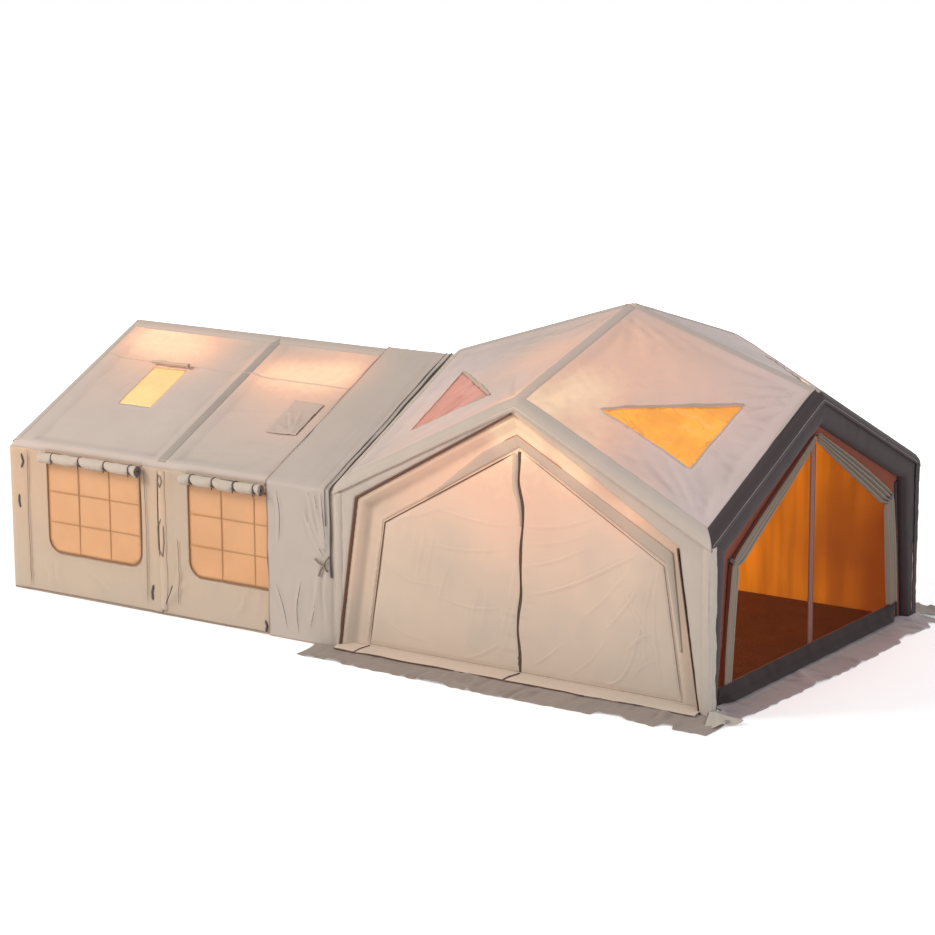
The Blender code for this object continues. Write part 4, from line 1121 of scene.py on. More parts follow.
def make_corner_covers():
    """Soft covers round the hub's corners, ragged where they lap over the gables."""
    edge, radius = HALF + 0.002, 0.035
    middle = edge - radius
    arc = [(middle + radius * math.sin(t), middle + radius * math.cos(t)) for t in np.linspace(0, math.pi / 2, 9)]
    heights = np.linspace(0.004, EAVE - 0.05, 60)
    for quarter, (east, north) in QUARTERS.items():
        rows, outs = [], []
        for z in heights:
            loose = float(soft_noise(np.float64(z), np.float64(east + 3 * north), 0.07, 1, 83))
            reach = 0.060 + 0.014 * loose
            foot, top = RECESS["front"][:2] if east < 0 else RECESS["front"][:2:-1]
            free = np.interp(z, (foot[1], top[1]), (abs(foot[0]), abs(top[0])))
            plan = [(max(middle - 0.07, free + 0.003), edge - 0.022)]
            plan += [(max(middle - 0.02, free + 0.006), edge - 0.004)]
            plan += arc + [(edge + 0.002 * loose, middle - reach * share) for share in (0.5, 0.8, 1.0)]
            shares = np.linspace(0, 1, len(plan))
            crinkle = 0.0025 * soft_noise(shares, np.full(len(plan), z), 0.3, 0.05, 84)
            crinkle += 0.004 * soft_noise(shares, np.full(len(plan), z), 0.12, 0.6, 86)
            rows.append([(HUB_X + east * (x + c), north * (y + c), z) for (x, y), c in zip(plan, crinkle)])
            outs.append([(east * (x - middle + 0.01), north * (y - middle + 0.01), 0) for x, y in plan])
        name = "hub_corner_%s_%s" % tuple(reversed(quarter.split("_")))
        finish = "dark" if quarter == "back_right" else "arch"
        piece(name, skin(rows, outs), finish, thick=0.002, share_light=0.3)


def door_line(sill, peak):
    """A hub door's outline, anticlockwise."""
    foot, corner = (FOOT_HALF, sill), (CORNER_HALF, DOOR_CORNER)
    return [(-foot[0], sill), foot, corner, (0, peak), (-corner[0], DOOR_CORNER)]


def wall_line(inner):
    """A gable wall's outline, which reaches a little under the sleeve round it."""
    return [(u * 1.015, v + (0.01 if v else 0)) for u, v in inner]


def recess_swell(u, v):
    """How far the front wall stands out along the edge of its sleeves, over the beams."""
    line = RECESS["front"]
    near = np.full(np.shape(u), np.inf)
    for (u0, v0), (u1, v1) in zip(line, line[1:]):
        share = np.clip(((u - u0) * (u1 - u0) + (v - v0) * (v1 - v0)) / ((u1 - u0) ** 2 + (v1 - v0) ** 2), 0, 1)
        near = np.minimum(near, np.hypot(u - u0 - share * (u1 - u0), v - v0 - share * (v1 - v0)))
    return 0.070 * (1 - smooth_step(0.02, 0.125, near)) * smooth_step(0.9, -0.2, u)


def make_hub_walls():
    holes = {
        "front": [door_line(FRONT_SILL, FRONT_DOOR_TOP)],
        "right": [door_line(SIDE_SILL, SIDE_DOOR_TOP)],
        "left": [door_line(0.10, SIDE_DOOR_TOP)],
        "back": [],
    }
    # The right wall's rust finish is painted lamplight
    looks = {"front": ("surround", "wall_canvas"), "right": ("rust", "sill_canvas"),
             "left": ("wall", "wall_canvas"), "back": ("door", "door_canvas")}
    depth = sizes().crease
    for side, outline in RECESS.items():
        def relief(u, v, seed=len(side) * 7):
            if side == "back":
                hang = depth * 2.2 * folds(u, v, 86, 0.13, 1.2, seed)
                return hang + 0.012 * soft_noise(u, v, 0.16, 1.5, seed + 1) - 0.008
            lift = depth * 0.3 * folds(u, v, 70, 0.12, 0.8, seed) + 0.003 * soft_noise(u, v, 0.25, 0.3, seed)
            return lift + (recess_swell(u, v) if side == "front" else 0)

        finish, slot = looks[side]
        wall = cut(wall_line(outline), upright(side, WALL), holes[side], relief=relief, held=0.04)
        piece("hub_%s_wall_cloth" % side, wall, finish, "hub_%s_wall" % side, slot=slot, thick=sizes().canvas,
              lining="lining")


def stitched_line(name, line, radius, finish, out, body="tent"):
    """A thin round binding along a line on the front of the hub, thin at both ends."""
    path = divided(upright("front", WALL + out)(*np.array(line).T, 0.0), 0.03)
    piece(name, tube(path, tapered(radius, len(path), 5, 0.25)), finish, body=body)


def make_front_bands():
    """Grey band round the canvas door, painted brown shadow lines by recess and edge, piping over it, hem at its
    foot.
    """
    outer = [(-0.95, 1.487), (-0.38, 1.940), (-0.03, 2.135), (1.49, 1.32), (1.585, 0.50)]
    door = [(-0.95, 1.481), (-0.38, 1.812), (0, 2.028), (1.428, 1.218), (1.56, 0.50)]
    grey = band(outer, door, upright("front", WALL + 0.001),
                [(0, 0.001), (0.15, 0.006), (0.5, 0.009), (0.85, 0.007), (1, 0.001)], over=recess_swell)
    piece("front_door_band", grey, "trim", thick=0.0015, share_light=0.75)
    left, right = RECESS["front"][:3], RECESS["front"][3:]
    strips = {
        "left": ([(u * 1.004, v + 0.006) for u, v in left], [(-1.858, 0.0), (-1.644, 1.390), (-0.03, 2.316)]),
        "right": ([(u * 1.004, v) for u, v in right], [(1.560, 1.380), (1.781, 0.0)]),
    }
    # Dark brown strips over the recess's inner return: painted shadow of the recess
    for name, (line_a, line_b) in strips.items():
        strip = band(line_a, line_b, upright("front", WALL),
                     [(0, 0.090), (0.25, 0.091), (0.5, 0.086), (0.75, 0.050), (1, 0.002)], over=recess_swell)
        piece("front_recess_binding_" + name, strip, "binding", thick=0.001)
    stitched_line("front_door_piping", [(-0.16, 2.065), (-0.03, 2.130), (0.42, 1.895)], 0.004, "piping", 0.004)
    edge = [(FOOT_HALF - 0.017, FRONT_SILL + 0.004), (CORNER_HALF - 0.016, DOOR_CORNER - 0.010),
            (0.05, FRONT_DOOR_TOP - 0.045)]
    # The left edge's brown line is painted shadow cast by the door leaf; the right one is a thinner webbing line
    for name, side, radius, finish in (("left", -1, 0.0062, "binding"), ("right", 1, 0.003, "webbing")):
        stitched_line("front_door_edge_" + name, [(side * u, v) for u, v in edge], radius, finish, 0.005,
                      body="front_door_%s_body" % name)
    make_front_hem()


def on_hem(u, share, lift=0.0):
    """A point of the front gable's flared foot, from its top at share 0 to the seam at share 1."""
    flare = 0.165 + 0.012 * soft_noise(u, 0 * u, 0.2, 1, 15)
    height = 0.012 + (FRONT_SILL - 0.020) * (1 - share) ** 1.3 + 0.018 * np.sin(math.pi * share) * share
    wave = 0.004 * share * soft_noise(u, 0 * u + share, 0.12, 0.5, 16)
    return on_ground("front")(u, WALL + 0.003 + flare * share, height + wave + 0.020 * share + lift)


def make_front_hem():
    """The foot of the front gable, which flares out over the ground flap to a brown seam."""
    along = np.linspace(-1.875, 1.80, 150)
    rows = [on_hem(along, share) for share in np.linspace(0, 1, 9)]
    piece("front_hem", skin(rows, (0, -0.6, 0.8)), "door", thick=0.002, share_light=0)
    left, right = np.linspace(-1.87, 0.75, 60), np.linspace(0.72, 1.79, 60)
    broken = 0.004 * np.clip(0.5 + 0.5 * soft_noise(right, 0 * right, 0.05, 1, 22), 0.25, 1.2)
    for name, u, radius, finish in (("left", left, 0.0055, "binding"), ("right", right, broken, "tie")):
        piece("front_hem_seam_" + name, tube(on_hem(u, np.ones(len(u)), 0.003), radius), finish)
    shares = np.linspace(0.04, 0.98, 24)
    # The edge line carries the door's painted shadow line down the hem; the zip line is the zip's coil
    for name, start, run, radius, finish in (
        ("zip", -0.004, -0.071, 0.0080, "dark_zip"), ("edge", -FOOT_HALF + 0.017, -0.062, 0.0060, "binding"),
    ):
        path = on_hem(start + run * shares, shares, 0.003)
        piece("front_hem_%s_line" % name, tube(path, radius), finish)


RIM_REACH = {"front": 0.095, "right": 0.092, "back": 0.095, "left": 0.095}
RIM = [(0, -0.030), (0.02, -0.012), (0.05, 0.001), (0.15, 0.003), (0.4, 0.004), (0.9, 0.004), (1, 0.0)]


def make_rim_bands():
    """The sleeves' upper edges, which lap over the rim of the roof."""
    for side, finish in SLEEVE_FINISHES.items():
        (ax, ay), (ox, oy) = ALONG_AND_OUT[side]
        lines = [[(ax * u + ox * out, ay * u + oy * out) for u in (-out, 0, out)]
                 for out in (HALF + 0.002, HALF - RIM_REACH[side])]
        strip = band(*lines, on_hub_roof(0.002), RIM, relief=lambda u, v: 0.0015 * soft_noise(u, v, 0.06, 0.06, 29))
        piece("rim_band_" + side, strip, finish, thick=0.0015, share_light=0.15)
    inner = HALF - RIM_REACH["right"] - 0.004
    line = divided([(inner, 0.3), (inner, 0.0), (inner, -0.8)], 0.03)
    path = on_hub_roof(0.006)(*line.T, 0)
    piece("rim_piping_right", tube(path, tapered(0.010, len(line), 2, 0.15)), "arch")


# How far the canvas door's zip strays to the right, at some heights
ZIP_WAVE_HEIGHTS = (0.07, 0.22, 0.30, 0.42, 0.58, 0.74, 1.02, 1.2, 1.38, 1.54, 1.72, 1.88, 2.03)
ZIP_WAVE = (-0.004, -0.004, -0.012, -0.03, -0.022, 0.008, 0.0, 0.006, 0.03, 0.028, -0.020, -0.004, -0.004)


def zip_wave(z):
    """How far the door's zip strays from its middle at a height."""
    fine = np.linspace(ZIP_WAVE_HEIGHTS[0], ZIP_WAVE_HEIGHTS[-1], 80)
    return np.interp(z, fine, smoothed(np.interp(fine, ZIP_WAVE_HEIGHTS, ZIP_WAVE), 6))


def leaf_line(side, sill, peak, wavy=False, gap=0.0006):
    """One door leaf's outline, anticlockwise, on the side 1 or -1."""
    heights = np.linspace(peak - gap, sill + gap, 40 if wavy else 2)
    made = [((zip_wave(z) if wavy else 0.0) + side * gap, z) for z in heights]
    made += [(side * (FOOT_HALF - gap), sill + gap), (side * (CORNER_HALF - gap), DOOR_CORNER)]
    return made if side > 0 else made[::-1]


# Creases of the canvas door's leaves, u along the gable and v up
LEAF_CREASES = {
    "left": [
        (0.9, ((-0.96, 1.42), (-0.51, 1.34), (-0.08, 1.33))),
        (0.8, ((-1.01, 1.07), (-0.51, 1.06), (-0.10, 1.14))),
        (0.9, ((-0.59, 0.10), (-0.39, 0.17), (-0.20, 0.30))),
        (0.7, ((-1.30, 1.25), (-1.05, 1.31), (-0.70, 1.45))),
        (0.6, ((-1.42, 0.85), (-1.15, 0.70), (-0.80, 0.72))),
        (0.6, ((-0.85, 0.62), (-0.50, 0.55), (-0.14, 0.62))),
        (0.6, ((-1.45, 0.35), (-1.20, 0.22), (-0.95, 0.20))),
    ],
    "right": [
        (1.1, ((0.04, 1.35), (0.40, 1.39), (0.77, 1.53))),
        (1.0, ((0.04, 1.01), (0.35, 1.09), (0.65, 1.24))),
        (1.3, ((0.08, 0.76), (0.45, 0.88), (0.76, 1.04), (1.18, 1.28))),
        (1.0, ((0.82, 0.55), (1.01, 0.76), (1.18, 1.00))),
        (0.8, ((0.12, 0.15), (0.30, 0.27), (0.45, 0.42))),
        (1.3, ((0.82, 0.09), (0.92, 0.12), (1.01, 0.18), (1.11, 0.36), (1.18, 0.66))),
        (0.9, ((1.30, 1.10), (1.20, 0.75), (1.24, 0.30))),
        (0.8, ((0.95, 1.10), (1.15, 0.70), (1.38, 0.42))),
        (0.7, ((0.60, 0.62), (0.85, 0.85), (1.10, 1.16))),
        (0.7, ((0.50, 0.12), (0.72, 0.30), (0.88, 0.52))),
        (0.9, ((1.32, 1.02), (1.30, 0.70), (1.36, 0.35), (1.40, 0.12))),
        (0.8, ((1.05, 0.42), (1.16, 0.55), (1.30, 0.62))),
        (0.7, ((1.12, 0.20), (1.20, 0.32), (1.34, 0.40))),
        (0.6, ((0.06, 1.20), (0.38, 1.25), (0.72, 1.38))),
    ],
}


def make_front_door():
    depth = sizes().crease
    for name, side in (("left", -1), ("right", 1)):
        def relief(u, v):
            lift = depth * 0.55 * creased(u, v, LEAF_CREASES[name], 0.009)
            lift += 0.008 + 0.007 * soft_noise(u, v, 0.35, 0.5, 5) + depth * 0.3 * folds(u, v, 75, 0.10, 0.6, 8)
            pucker = np.exp(-np.abs(u - zip_wave(v)) / 0.10)
            return lift + 0.004 * pucker * soft_noise(u, v, 0.25, 0.035, 12)

        outline = leaf_line(side, FRONT_SILL, FRONT_DOOR_TOP, True)
        leaf = cut(outline, upright("front", WALL), step=0.012, relief=relief, held=0.05)
        body = "front_door_%s_body" % name
        door = piece("front_door_%s_cloth" % name, leaf, "door", "front_door_" + name, body, "door_canvas",
                     sizes().canvas, "surround")
        heights = np.linspace(FRONT_SILL + 0.004, FRONT_DOOR_TOP - 0.03, 60)
        inner = [(zip_wave(z) + side * 0.0008, z) for z in heights]
        outer = [(zip_wave(z) + side * (0.010 + 0.006 * math.sin(z * 7) ** 2), z) for z in heights]
        coil = band(inner, outer, upright("front", WALL + 0.001), [(0, 0.002), (0.3, 0.006), (0.8, 0.004), (1, 0)])
        piece("front_zip_%s_coil" % name, coil, "dark_zip", (), body, thick=0.001)
    heights = np.linspace(1.35, FRONT_DOOR_TOP - 0.05, 30)
    tape = band([(zip_wave(z) - 0.02 - 0.055 * min(1, (z - 1.33) / 0.3), z) for z in heights],
                [(zip_wave(z) - 0.017, z) for z in heights], upright("front", WALL + 0.002),
                [(0, 0.002), (0.2, 0.008), (0.6, 0.012), (1, 0.005)])
    piece("front_zip_flap", tape, "trim", (), "front_door_left_body", thick=0.0015)


# Gable of the net door


def make_mesh_door():
    for name, side in FRONT_AND_BACK:
        outline = leaf_line(side, SIDE_SILL, SIDE_DOOR_TOP, gap=0.004)
        leaf = cut(outline, upright("right", BEAM_LINE), step=sizes().plain_step,
                   relief=lambda u, v: 0.010 + 0.005 * soft_noise(u, v, 0.3, 0.4, 3), held=0.15)
        body = "mesh_door_%s_body" % name
        piece("mesh_door_%s_net" % name, leaf, "net", "mesh_door_" + name, body, "insect_net", sizes().sheer)
        for part, near, far, finish in (("tape", 0.0008, 0.034, "zip_tape"), ("edge", 0.033, 0.050, "zip_edge")):
            lines = [[(side * u, SIDE_SILL + 0.004), (side * u, SIDE_DOOR_TOP - 0.02 - u * 0.6)]
                     for u in (near, far)]
            tape = band(*lines, upright("right", BEAM_LINE + 0.001),
                        [(0, 0.002), (0.25, 0.005), (0.5, 0.004), (0.9, 0.003), (1, 0)])
            piece("mesh_zip_%s_%s" % (name, part), tape, finish, (), body, thick=0.001)


# A tied-back leaf from the peak to the tie and down: share of its way, outer and inner edge in y and z
CURTAIN = [
    (0.00, (0.02, 2.040), (0.03, 1.955)),
    (0.12, (0.26, 1.915), (0.24, 1.815)),
    (0.28, (0.68, 1.690), (0.62, 1.580)),
    (0.42, (1.06, 1.480), (0.98, 1.355)),
    (0.52, (1.41, 1.270), (1.28, 1.165)),
    (0.56, (1.47, 1.210), (1.36, 1.170)),
    (0.60, (1.49, 1.120), (1.34, 1.110)),
    (0.75, (1.53, 0.780), (1.38, 0.780)),
    (1.00, (1.58, 0.200), (1.44, 0.200)),
]


def make_curtains():
    """The canvas leaves of the net door, gathered and tied back in broad folds."""
    shares = np.linspace(0, 1, 90)
    stops = [stop for stop, _, _ in CURTAIN]
    outer, inner = [
        smoothed(np.stack([np.interp(shares, stops, [stop[edge][k] for stop in CURTAIN]) for k in (0, 1)], -1), 2)
        for edge in (1, 2)
    ]
    columns = np.linspace(0, 1, 61)
    for name, side in FRONT_AND_BACK:
        rows = []
        for i, share in enumerate(shares):
            drift = soft_noise(columns * 2, columns * 0 + share * 3, 1, 1, 4 + side)
            wave = columns * 7 * math.pi + 1.6 * drift
            depth = min(0.026, 0.22 * np.linalg.norm(outer[i] - inner[i]))
            place = outer[i] + (inner[i] - outer[i]) * columns[:, None]
            out = WALL + 0.012 + depth * (1 + np.cos(wave)) * (0.85 + 0.15 * drift)
            rows.append(np.stack([HUB_X + out, side * place[:, 0], place[:, 1]], -1))
        # The curtains' inner side, in rust, is painted lamplight
        piece("curtain_%s_cloth" % name, skin(rows, (1, 0, 0)), "curtain", "curtain_" + name, slot="dark_canvas",
              thick=0.0015, lining="rust")


def make_sill():
    """The padded sill of the net door's gable and the dark bands beside the net."""
    sill = band([(-1.62, 0.050), (1.62, 0.050)], [(-1.62, SIDE_SILL - 0.002), (1.62, SIDE_SILL - 0.002)],
                upright("right", WALL + 0.001),
                [(0, 0.088), (0.12, 0.070), (0.3, 0.045), (0.5, 0.034), (0.8, 0.018), (0.95, 0.004), (1, 0)],
                relief=lambda u, v: 0.005 * soft_noise(u, v, 0.09, 0.2, 15) + 0.006 * folds(u, v, 12, 0.05, 0.4, 16)
                - 0.070 * smooth_step(1.45, 1.62, np.abs(u)) * smooth_step(SIDE_SILL * 0.8, 0.05, v))
    piece("net_door_sill", sill, "sill", thick=0.002)
    for name, side in FRONT_AND_BACK:
        outer = [(side * 1.700, 0.012), (side * 1.615, 1.325)]
        inner = [(side * 1.655, 0.012), (side * 1.565, 1.305)]
        strip = band(outer, inner, upright("right", WALL + 0.001),
                     [(0, 0.001), (0.2, 0.008), (0.8, 0.006), (1, 0.0)],
                     relief=lambda u, v: 0.003 * soft_noise(u, v, 0.06, 0.15, 18))
        piece("net_door_band_" + name, strip, "sill", thick=0.0015)


# Ground flaps and groundsheets

# Half a flap's length, its reach at both ends and its middle, how high it starts, its finish and its slot
FLAPS = {
    "front": (HALF + 0.19, (0.36, 0.46, 0.43), 0.014, "skirt", "skirt_canvas"),
    "back": (HALF + 0.19, (0.42, 0.42, 0.42), 0.014, "skirt", "skirt_canvas"),
    "right": (HALF - 0.004, (0.25, 0.34, 0.31), 0.022, "dark_skirt", "dark_skirt_canvas"),
}


def make_skirts():
    for side, (half, reaches, rise, finish, slot) in FLAPS.items():
        along = np.linspace(-half, half, 220)
        torn = smooth_step(0.35, 0.7, soft_noise(along, 0 * along, 0.16, 1, 18))
        edge = HALF - 0.045 + np.interp(along / half, (-1, 0, 1), reaches)
        edge += 0.016 * soft_noise(along, 0 * along, 0.07, 1, 17) - (0.07 if half > HALF else 0.045) * torn
        wall = WALL + (0.12 if side == "front" else 0.010)
        start = np.where(np.abs(along) > BEAM_LINE - BEAM, HALF + 0.004, wall)
        rows = []
        for share in np.linspace(0, 1, 21):
            out = start + (edge - start) * share
            height = 0.005 + rise * (1 - smooth_step(0, 0.35, share)) + 0.012 * (1 - share)
            ripple = 0.030 * folds(along, out, 78, 0.10, 0.35, 19) + 0.010 * soft_noise(along, out, 0.06, 0.2, 20)
            ripple += 0.020 * torn * smooth_step(0.4, 1.0, share)
            lift = np.maximum(0.004, height + ripple * smooth_step(0.0, 0.3, share) * (1 - 0.35 * share))
            rows.append(on_ground(side)(along, out, lift))
        piece("skirt_%s_cloth" % side, skin(rows, UPWARD), finish, "skirt_" + side, slot=slot, thick=0.0025)
    make_corner_flap()


def make_corner_flap():
    """The pale loose end of the front flap, turned round the corner by the net door."""
    shares, rows = np.linspace(0, 1, 14), []
    for turn in np.linspace(0, 1, 18):
        angle = math.radians(-70 + 75 * turn)
        reach = 0.03 + (0.25 + 0.03 * math.sin(turn * 9)) * shares
        z = 0.05 * (1 - shares) ** 1.5 + 0.022 + 0.012 * np.sin(turn * 11 + shares * 4) * shares
        x, y = HALF - 0.02 + reach * math.cos(angle), -HALF + 0.05 + reach * math.sin(angle)
        rows.append(np.stack([HUB_X + x, y, z], -1))
    piece("skirt_corner_flap", skin(rows, UPWARD), "arch", thick=0.002, share_light=0)


def make_groundsheets():
    def place(u, v, w):
        return np.stack([HUB_X + u, v, 0.004 + w], -1)

    edge, half = WALL - 0.004, ANNEX_HALF - 0.006
    for node, outline in (
        ("hub_groundsheet", box_line(-edge, edge, -edge, edge)),
        ("annex_groundsheet", box_line(ANNEX_OUTER + 0.006, ANNEX_INNER - 0.004, -half, half)),
    ):
        sheet = cut(outline, place, step=0.07, relief=lambda u, v: 0.004 * folds(u, v, 20, 0.2, 0.8, 33), held=0.05)
        piece(node + "_cloth", sheet, "floor", node, slot="groundsheet", thick=0.0015)


# Annex


def plan_hole(node):
    a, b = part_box(node)
    return box_line(a.x - HUB_X, b.x - HUB_X, a.y, b.y)


def make_annex_roof():
    holes = [plan_hole("annex_skylight_" + name) for name in ("outer", "inner")]
    for name, north in FRONT_AND_BACK:
        eave = north * ANNEX_HALF
        outline = [(ANNEX_OUTER, 0), (ANNEX_INNER, 0), (ANNEX_INNER, eave), (ANNEX_OUTER, eave)]
        step = sizes().mesh_step if north < 0 else sizes().plain_step
        roof = cut(outline, on_annex_roof(), holes if north < 0 else (), step)
        piece("annex_roof_%s_cloth" % name, roof, "roof", "annex_roof_" + name, slot="roof_canvas",
              thick=sizes().canvas, lining="lining")
    for name, hole in zip(("outer", "inner"), holes):
        pane = cut(hole, on_annex_roof(-0.003), (), 0.03)
        piece("annex_skylight_%s_film" % name, pane, "lemon", "annex_skylight_" + name, slot="amber_film",
              thick=sizes().sheer)
    crown = [(0, 0.0), (0.2, 0.002), (0.5, 0.005), (0.8, 0.002), (1, 0.0)]
    lines = [[(ANNEX_OUTER + 0.004, half), (SLEEVE_START, half)] for half in (-0.095, 0.095)]
    ridge = band(*lines, on_annex_roof(0.001), crown)
    piece("annex_ridge_band", ridge, "ridge", thick=0.001, share_light=0.2)
    seam = [(ANNEX_OUTER + 0.1, -0.52), (-4.3, -0.54), (SLEEVE_START, -0.56)]
    strip = band([(u, v - 0.008) for u, v in seam], [(u, v + 0.008) for u, v in seam], on_annex_roof(0.0005), crown)
    piece("annex_roof_seam", strip, "ridge", thick=0.001, share_light=0.7)
    edge = ANNEX_HALF - 0.03
    # The middle band's darker finish is painted shade along the middle arch
    for name, sides, finish in (
        ("middle", (MIDDLE_ARCH - 0.055, MIDDLE_ARCH + 0.045), "arch_band"),
        ("end", (ANNEX_OUTER + 0.002, ANNEX_OUTER + 0.09), "ridge"),
    ):
        for slope, north in FRONT_AND_BACK:
            strip = band(*[[(x, north * 0.01), (x, north * edge)] for x in sides], on_annex_roof(), crown)
            piece("annex_%s_band_%s" % (name, slope), strip, finish, thick=0.001, share_light=0)


def window_line(node, grow=0.0):
    """A window with round lower corners, from its node's box, in x and z."""
    a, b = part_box(node)
    left, right, bottom, top = a.x - HUB_X - grow, b.x - HUB_X + grow, a.z - grow, b.z + grow
    radius = 0.14 + grow
    points = []
    for middle, start in ((left + radius, math.pi), (right - radius, 1.5 * math.pi)):
        for i in range(7):
            turn = start + 0.5 * math.pi * i / 6
            points.append((middle + radius * math.cos(turn), bottom + radius * (1 + math.sin(turn))))
    return points + [(right, top), (left, top)]


# Creases of the annex's side walls
WALL_CREASES = [
    (0.9, ((-5.38, 0.35), (-5.30, 0.18), (-5.34, 0.05))),
    (0.8, ((-5.20, 0.34), (-5.24, 0.20), (-5.16, 0.06))),
    (0.8, ((-4.90, 0.30), (-4.70, 0.22), (-4.50, 0.05))),
    (0.9, ((-3.90, 0.06), (-3.75, 0.30), (-3.66, 0.60))),
    (1.0, ((-3.93, 0.05), (-3.80, 0.20), (-3.62, 0.36))),
    (0.7, ((-2.95, 0.30), (-3.00, 0.18), (-3.10, 0.12))),
    (0.7, ((-4.20, 0.75), (-4.12, 0.55), (-4.14, 0.25))),
    (0.6, ((-5.65, 0.30), (-5.55, 0.22), (-5.45, 0.20))),
]


def annex_wall_lift(u, v):
    """Posts, slack cloth and creases of the annex's side walls."""
    to_post = np.min([np.abs(np.abs(u) - abs(x)) for x in (END_ARCH, MIDDLE_ARCH, INNER_ARCH)], axis=0)
    posts = 1 - smooth_step(0.05, 0.15, to_post)
    lift = -0.006 + 0.010 * posts + 0.006 * soft_noise(u, v, 0.35, 0.5, 23)
    lift += sizes().crease * 1.3 * creased(-np.abs(u), v, WALL_CREASES, 0.022)
    return lift + sizes().crease * 0.5 * folds(u, v, 80, 0.11, 0.6, 24)


def on_annex_wall(side, lift=0.0):
    """Puts u along a side wall of the annex, v up, and w out from its cloth."""
    flat = upright(side, ANNEX_HALF + lift)

    def place(u, v, w):
        return flat(u, v, annex_wall_lift(u, v) + w)

    return place


def wall_line_tube(line, radius, side, lift=0.003):
    """A thin seam, loop or tab along a line on a side wall of the annex."""
    u, v = divided(line, 0.02).T
    return tube(on_annex_wall(side, lift)(u, v, 0 * u), tapered(radius, len(u), 6, 0.3))


TRIM_TOP = ANNEX_EAVE - 0.06
# Seams, tabs and loops of the front wall: finish, how far they stand out, and lines with their radii
TRIM = {
    "dark": ("tie", 0.003, [
        ([(-3.942, 0.55), (-3.950, 0.90), (-3.938, TRIM_TOP)], 0.0045),
        ([(-3.800, 0.30), (-3.87, 0.10), (-3.93, 0.02)], 0.004),
        ([(-4.03, 0.27), (-4.05, 0.20), (-4.045, 0.12)], 0.013),
        ([(-5.62, 1.33), (-5.60, 1.25), (-5.625, 1.19)], 0.010),
        ([(-5.66, 0.93), (-5.665, 0.86), (-5.65, 0.80)], 0.011),
        ([(-2.72, 0.13), (-2.70, 0.08), (-2.715, 0.02)], 0.012),
        ([(-4.16, 1.28), (-4.15, 0.95), (-4.16, 0.50)], 0.003),
    ]),
    "pale": ("webbing", 0.014, [
        ([(-3.915, 1.33), (-3.935, 1.27), (-3.905, 1.21), (-3.88, 1.27), (-3.90, 1.33)], 0.006),
        ([(-3.90, 0.92), (-3.945, 0.84), (-3.94, 0.62), (-3.895, 0.56), (-3.875, 0.70), (-3.88, 0.86)], 0.006),
        ([(-5.545, 0.05), (-5.55, 0.70), (-5.54, TRIM_TOP)], 0.0035),
        ([(-4.10, 0.08), (-4.09, 0.70), (-4.10, TRIM_TOP)], 0.003),
        ([(-3.72, 0.75), (-3.70, 0.40), (-3.73, 0.12)], 0.003),
    ]),
}
WALL_HEM = [(ANNEX_OUTER + 0.01, 0.018), (-4.6, 0.022), (-3.3, 0.016), (SLEEVE_START, 0.020)]


def make_annex_trim():
    """Post strips, loops, toggles and tabs on the annex's side walls."""
    heights = np.linspace(0.05, TRIM_TOP, 50)
    wander = 0.006 * soft_noise(heights, heights, 0.12, 1, 52)
    for side, north in FRONT_AND_BACK:
        def turned(line):
            return [(-north * u, v) for u, v in line]

        left = turned([(-3.935 + w, z) for z, w in zip(heights, wander)])
        right = turned([(-3.852 - w - 0.05 * max(0, 0.25 - z), z) for z, w in zip(heights, wander)])
        strip = band(left, right, on_annex_wall(side),
                     [(0, 0.002), (0.1, 0.010), (0.5, 0.013), (0.9, 0.009), (1, 0.001)])
        piece("annex_post_strip_" + side, strip, "wall", thick=0.0015, share_light=0)
        for tone, (finish, lift, lines) in TRIM.items():
            tubes = [wall_line_tube(turned(line), radius, side, lift) for line, radius in lines]
            piece("annex_%s_trim_%s" % (tone, side), joined(tubes), finish)
        piece("annex_hem_" + side, wall_line_tube(turned(WALL_HEM), 0.007, side), "webbing")


def window_grid(left, right, bottom, top, place):
    """Two tapes across a window and two down it."""
    tapes = []
    for third in (1, 2):
        u, v = left[0] + (right[0] - left[0]) * third / 3, bottom + (top - bottom) * third / 3
        down, across = [(u, bottom + 0.003), (u, top - 0.003)], [(left[1] + 0.003, v), (right[1] - 0.003, v)]
        for line, (du, dv) in ((down, (0.006, 0)), (across, (0, 0.006))):
            tapes.append(band([(a - du, b - dv) for a, b in line], [(a + du, b + dv) for a, b in line], place,
                              [(0, 0.000), (0.2, 0.003), (0.8, 0.003), (1, 0.0)]))
    return joined(tapes)


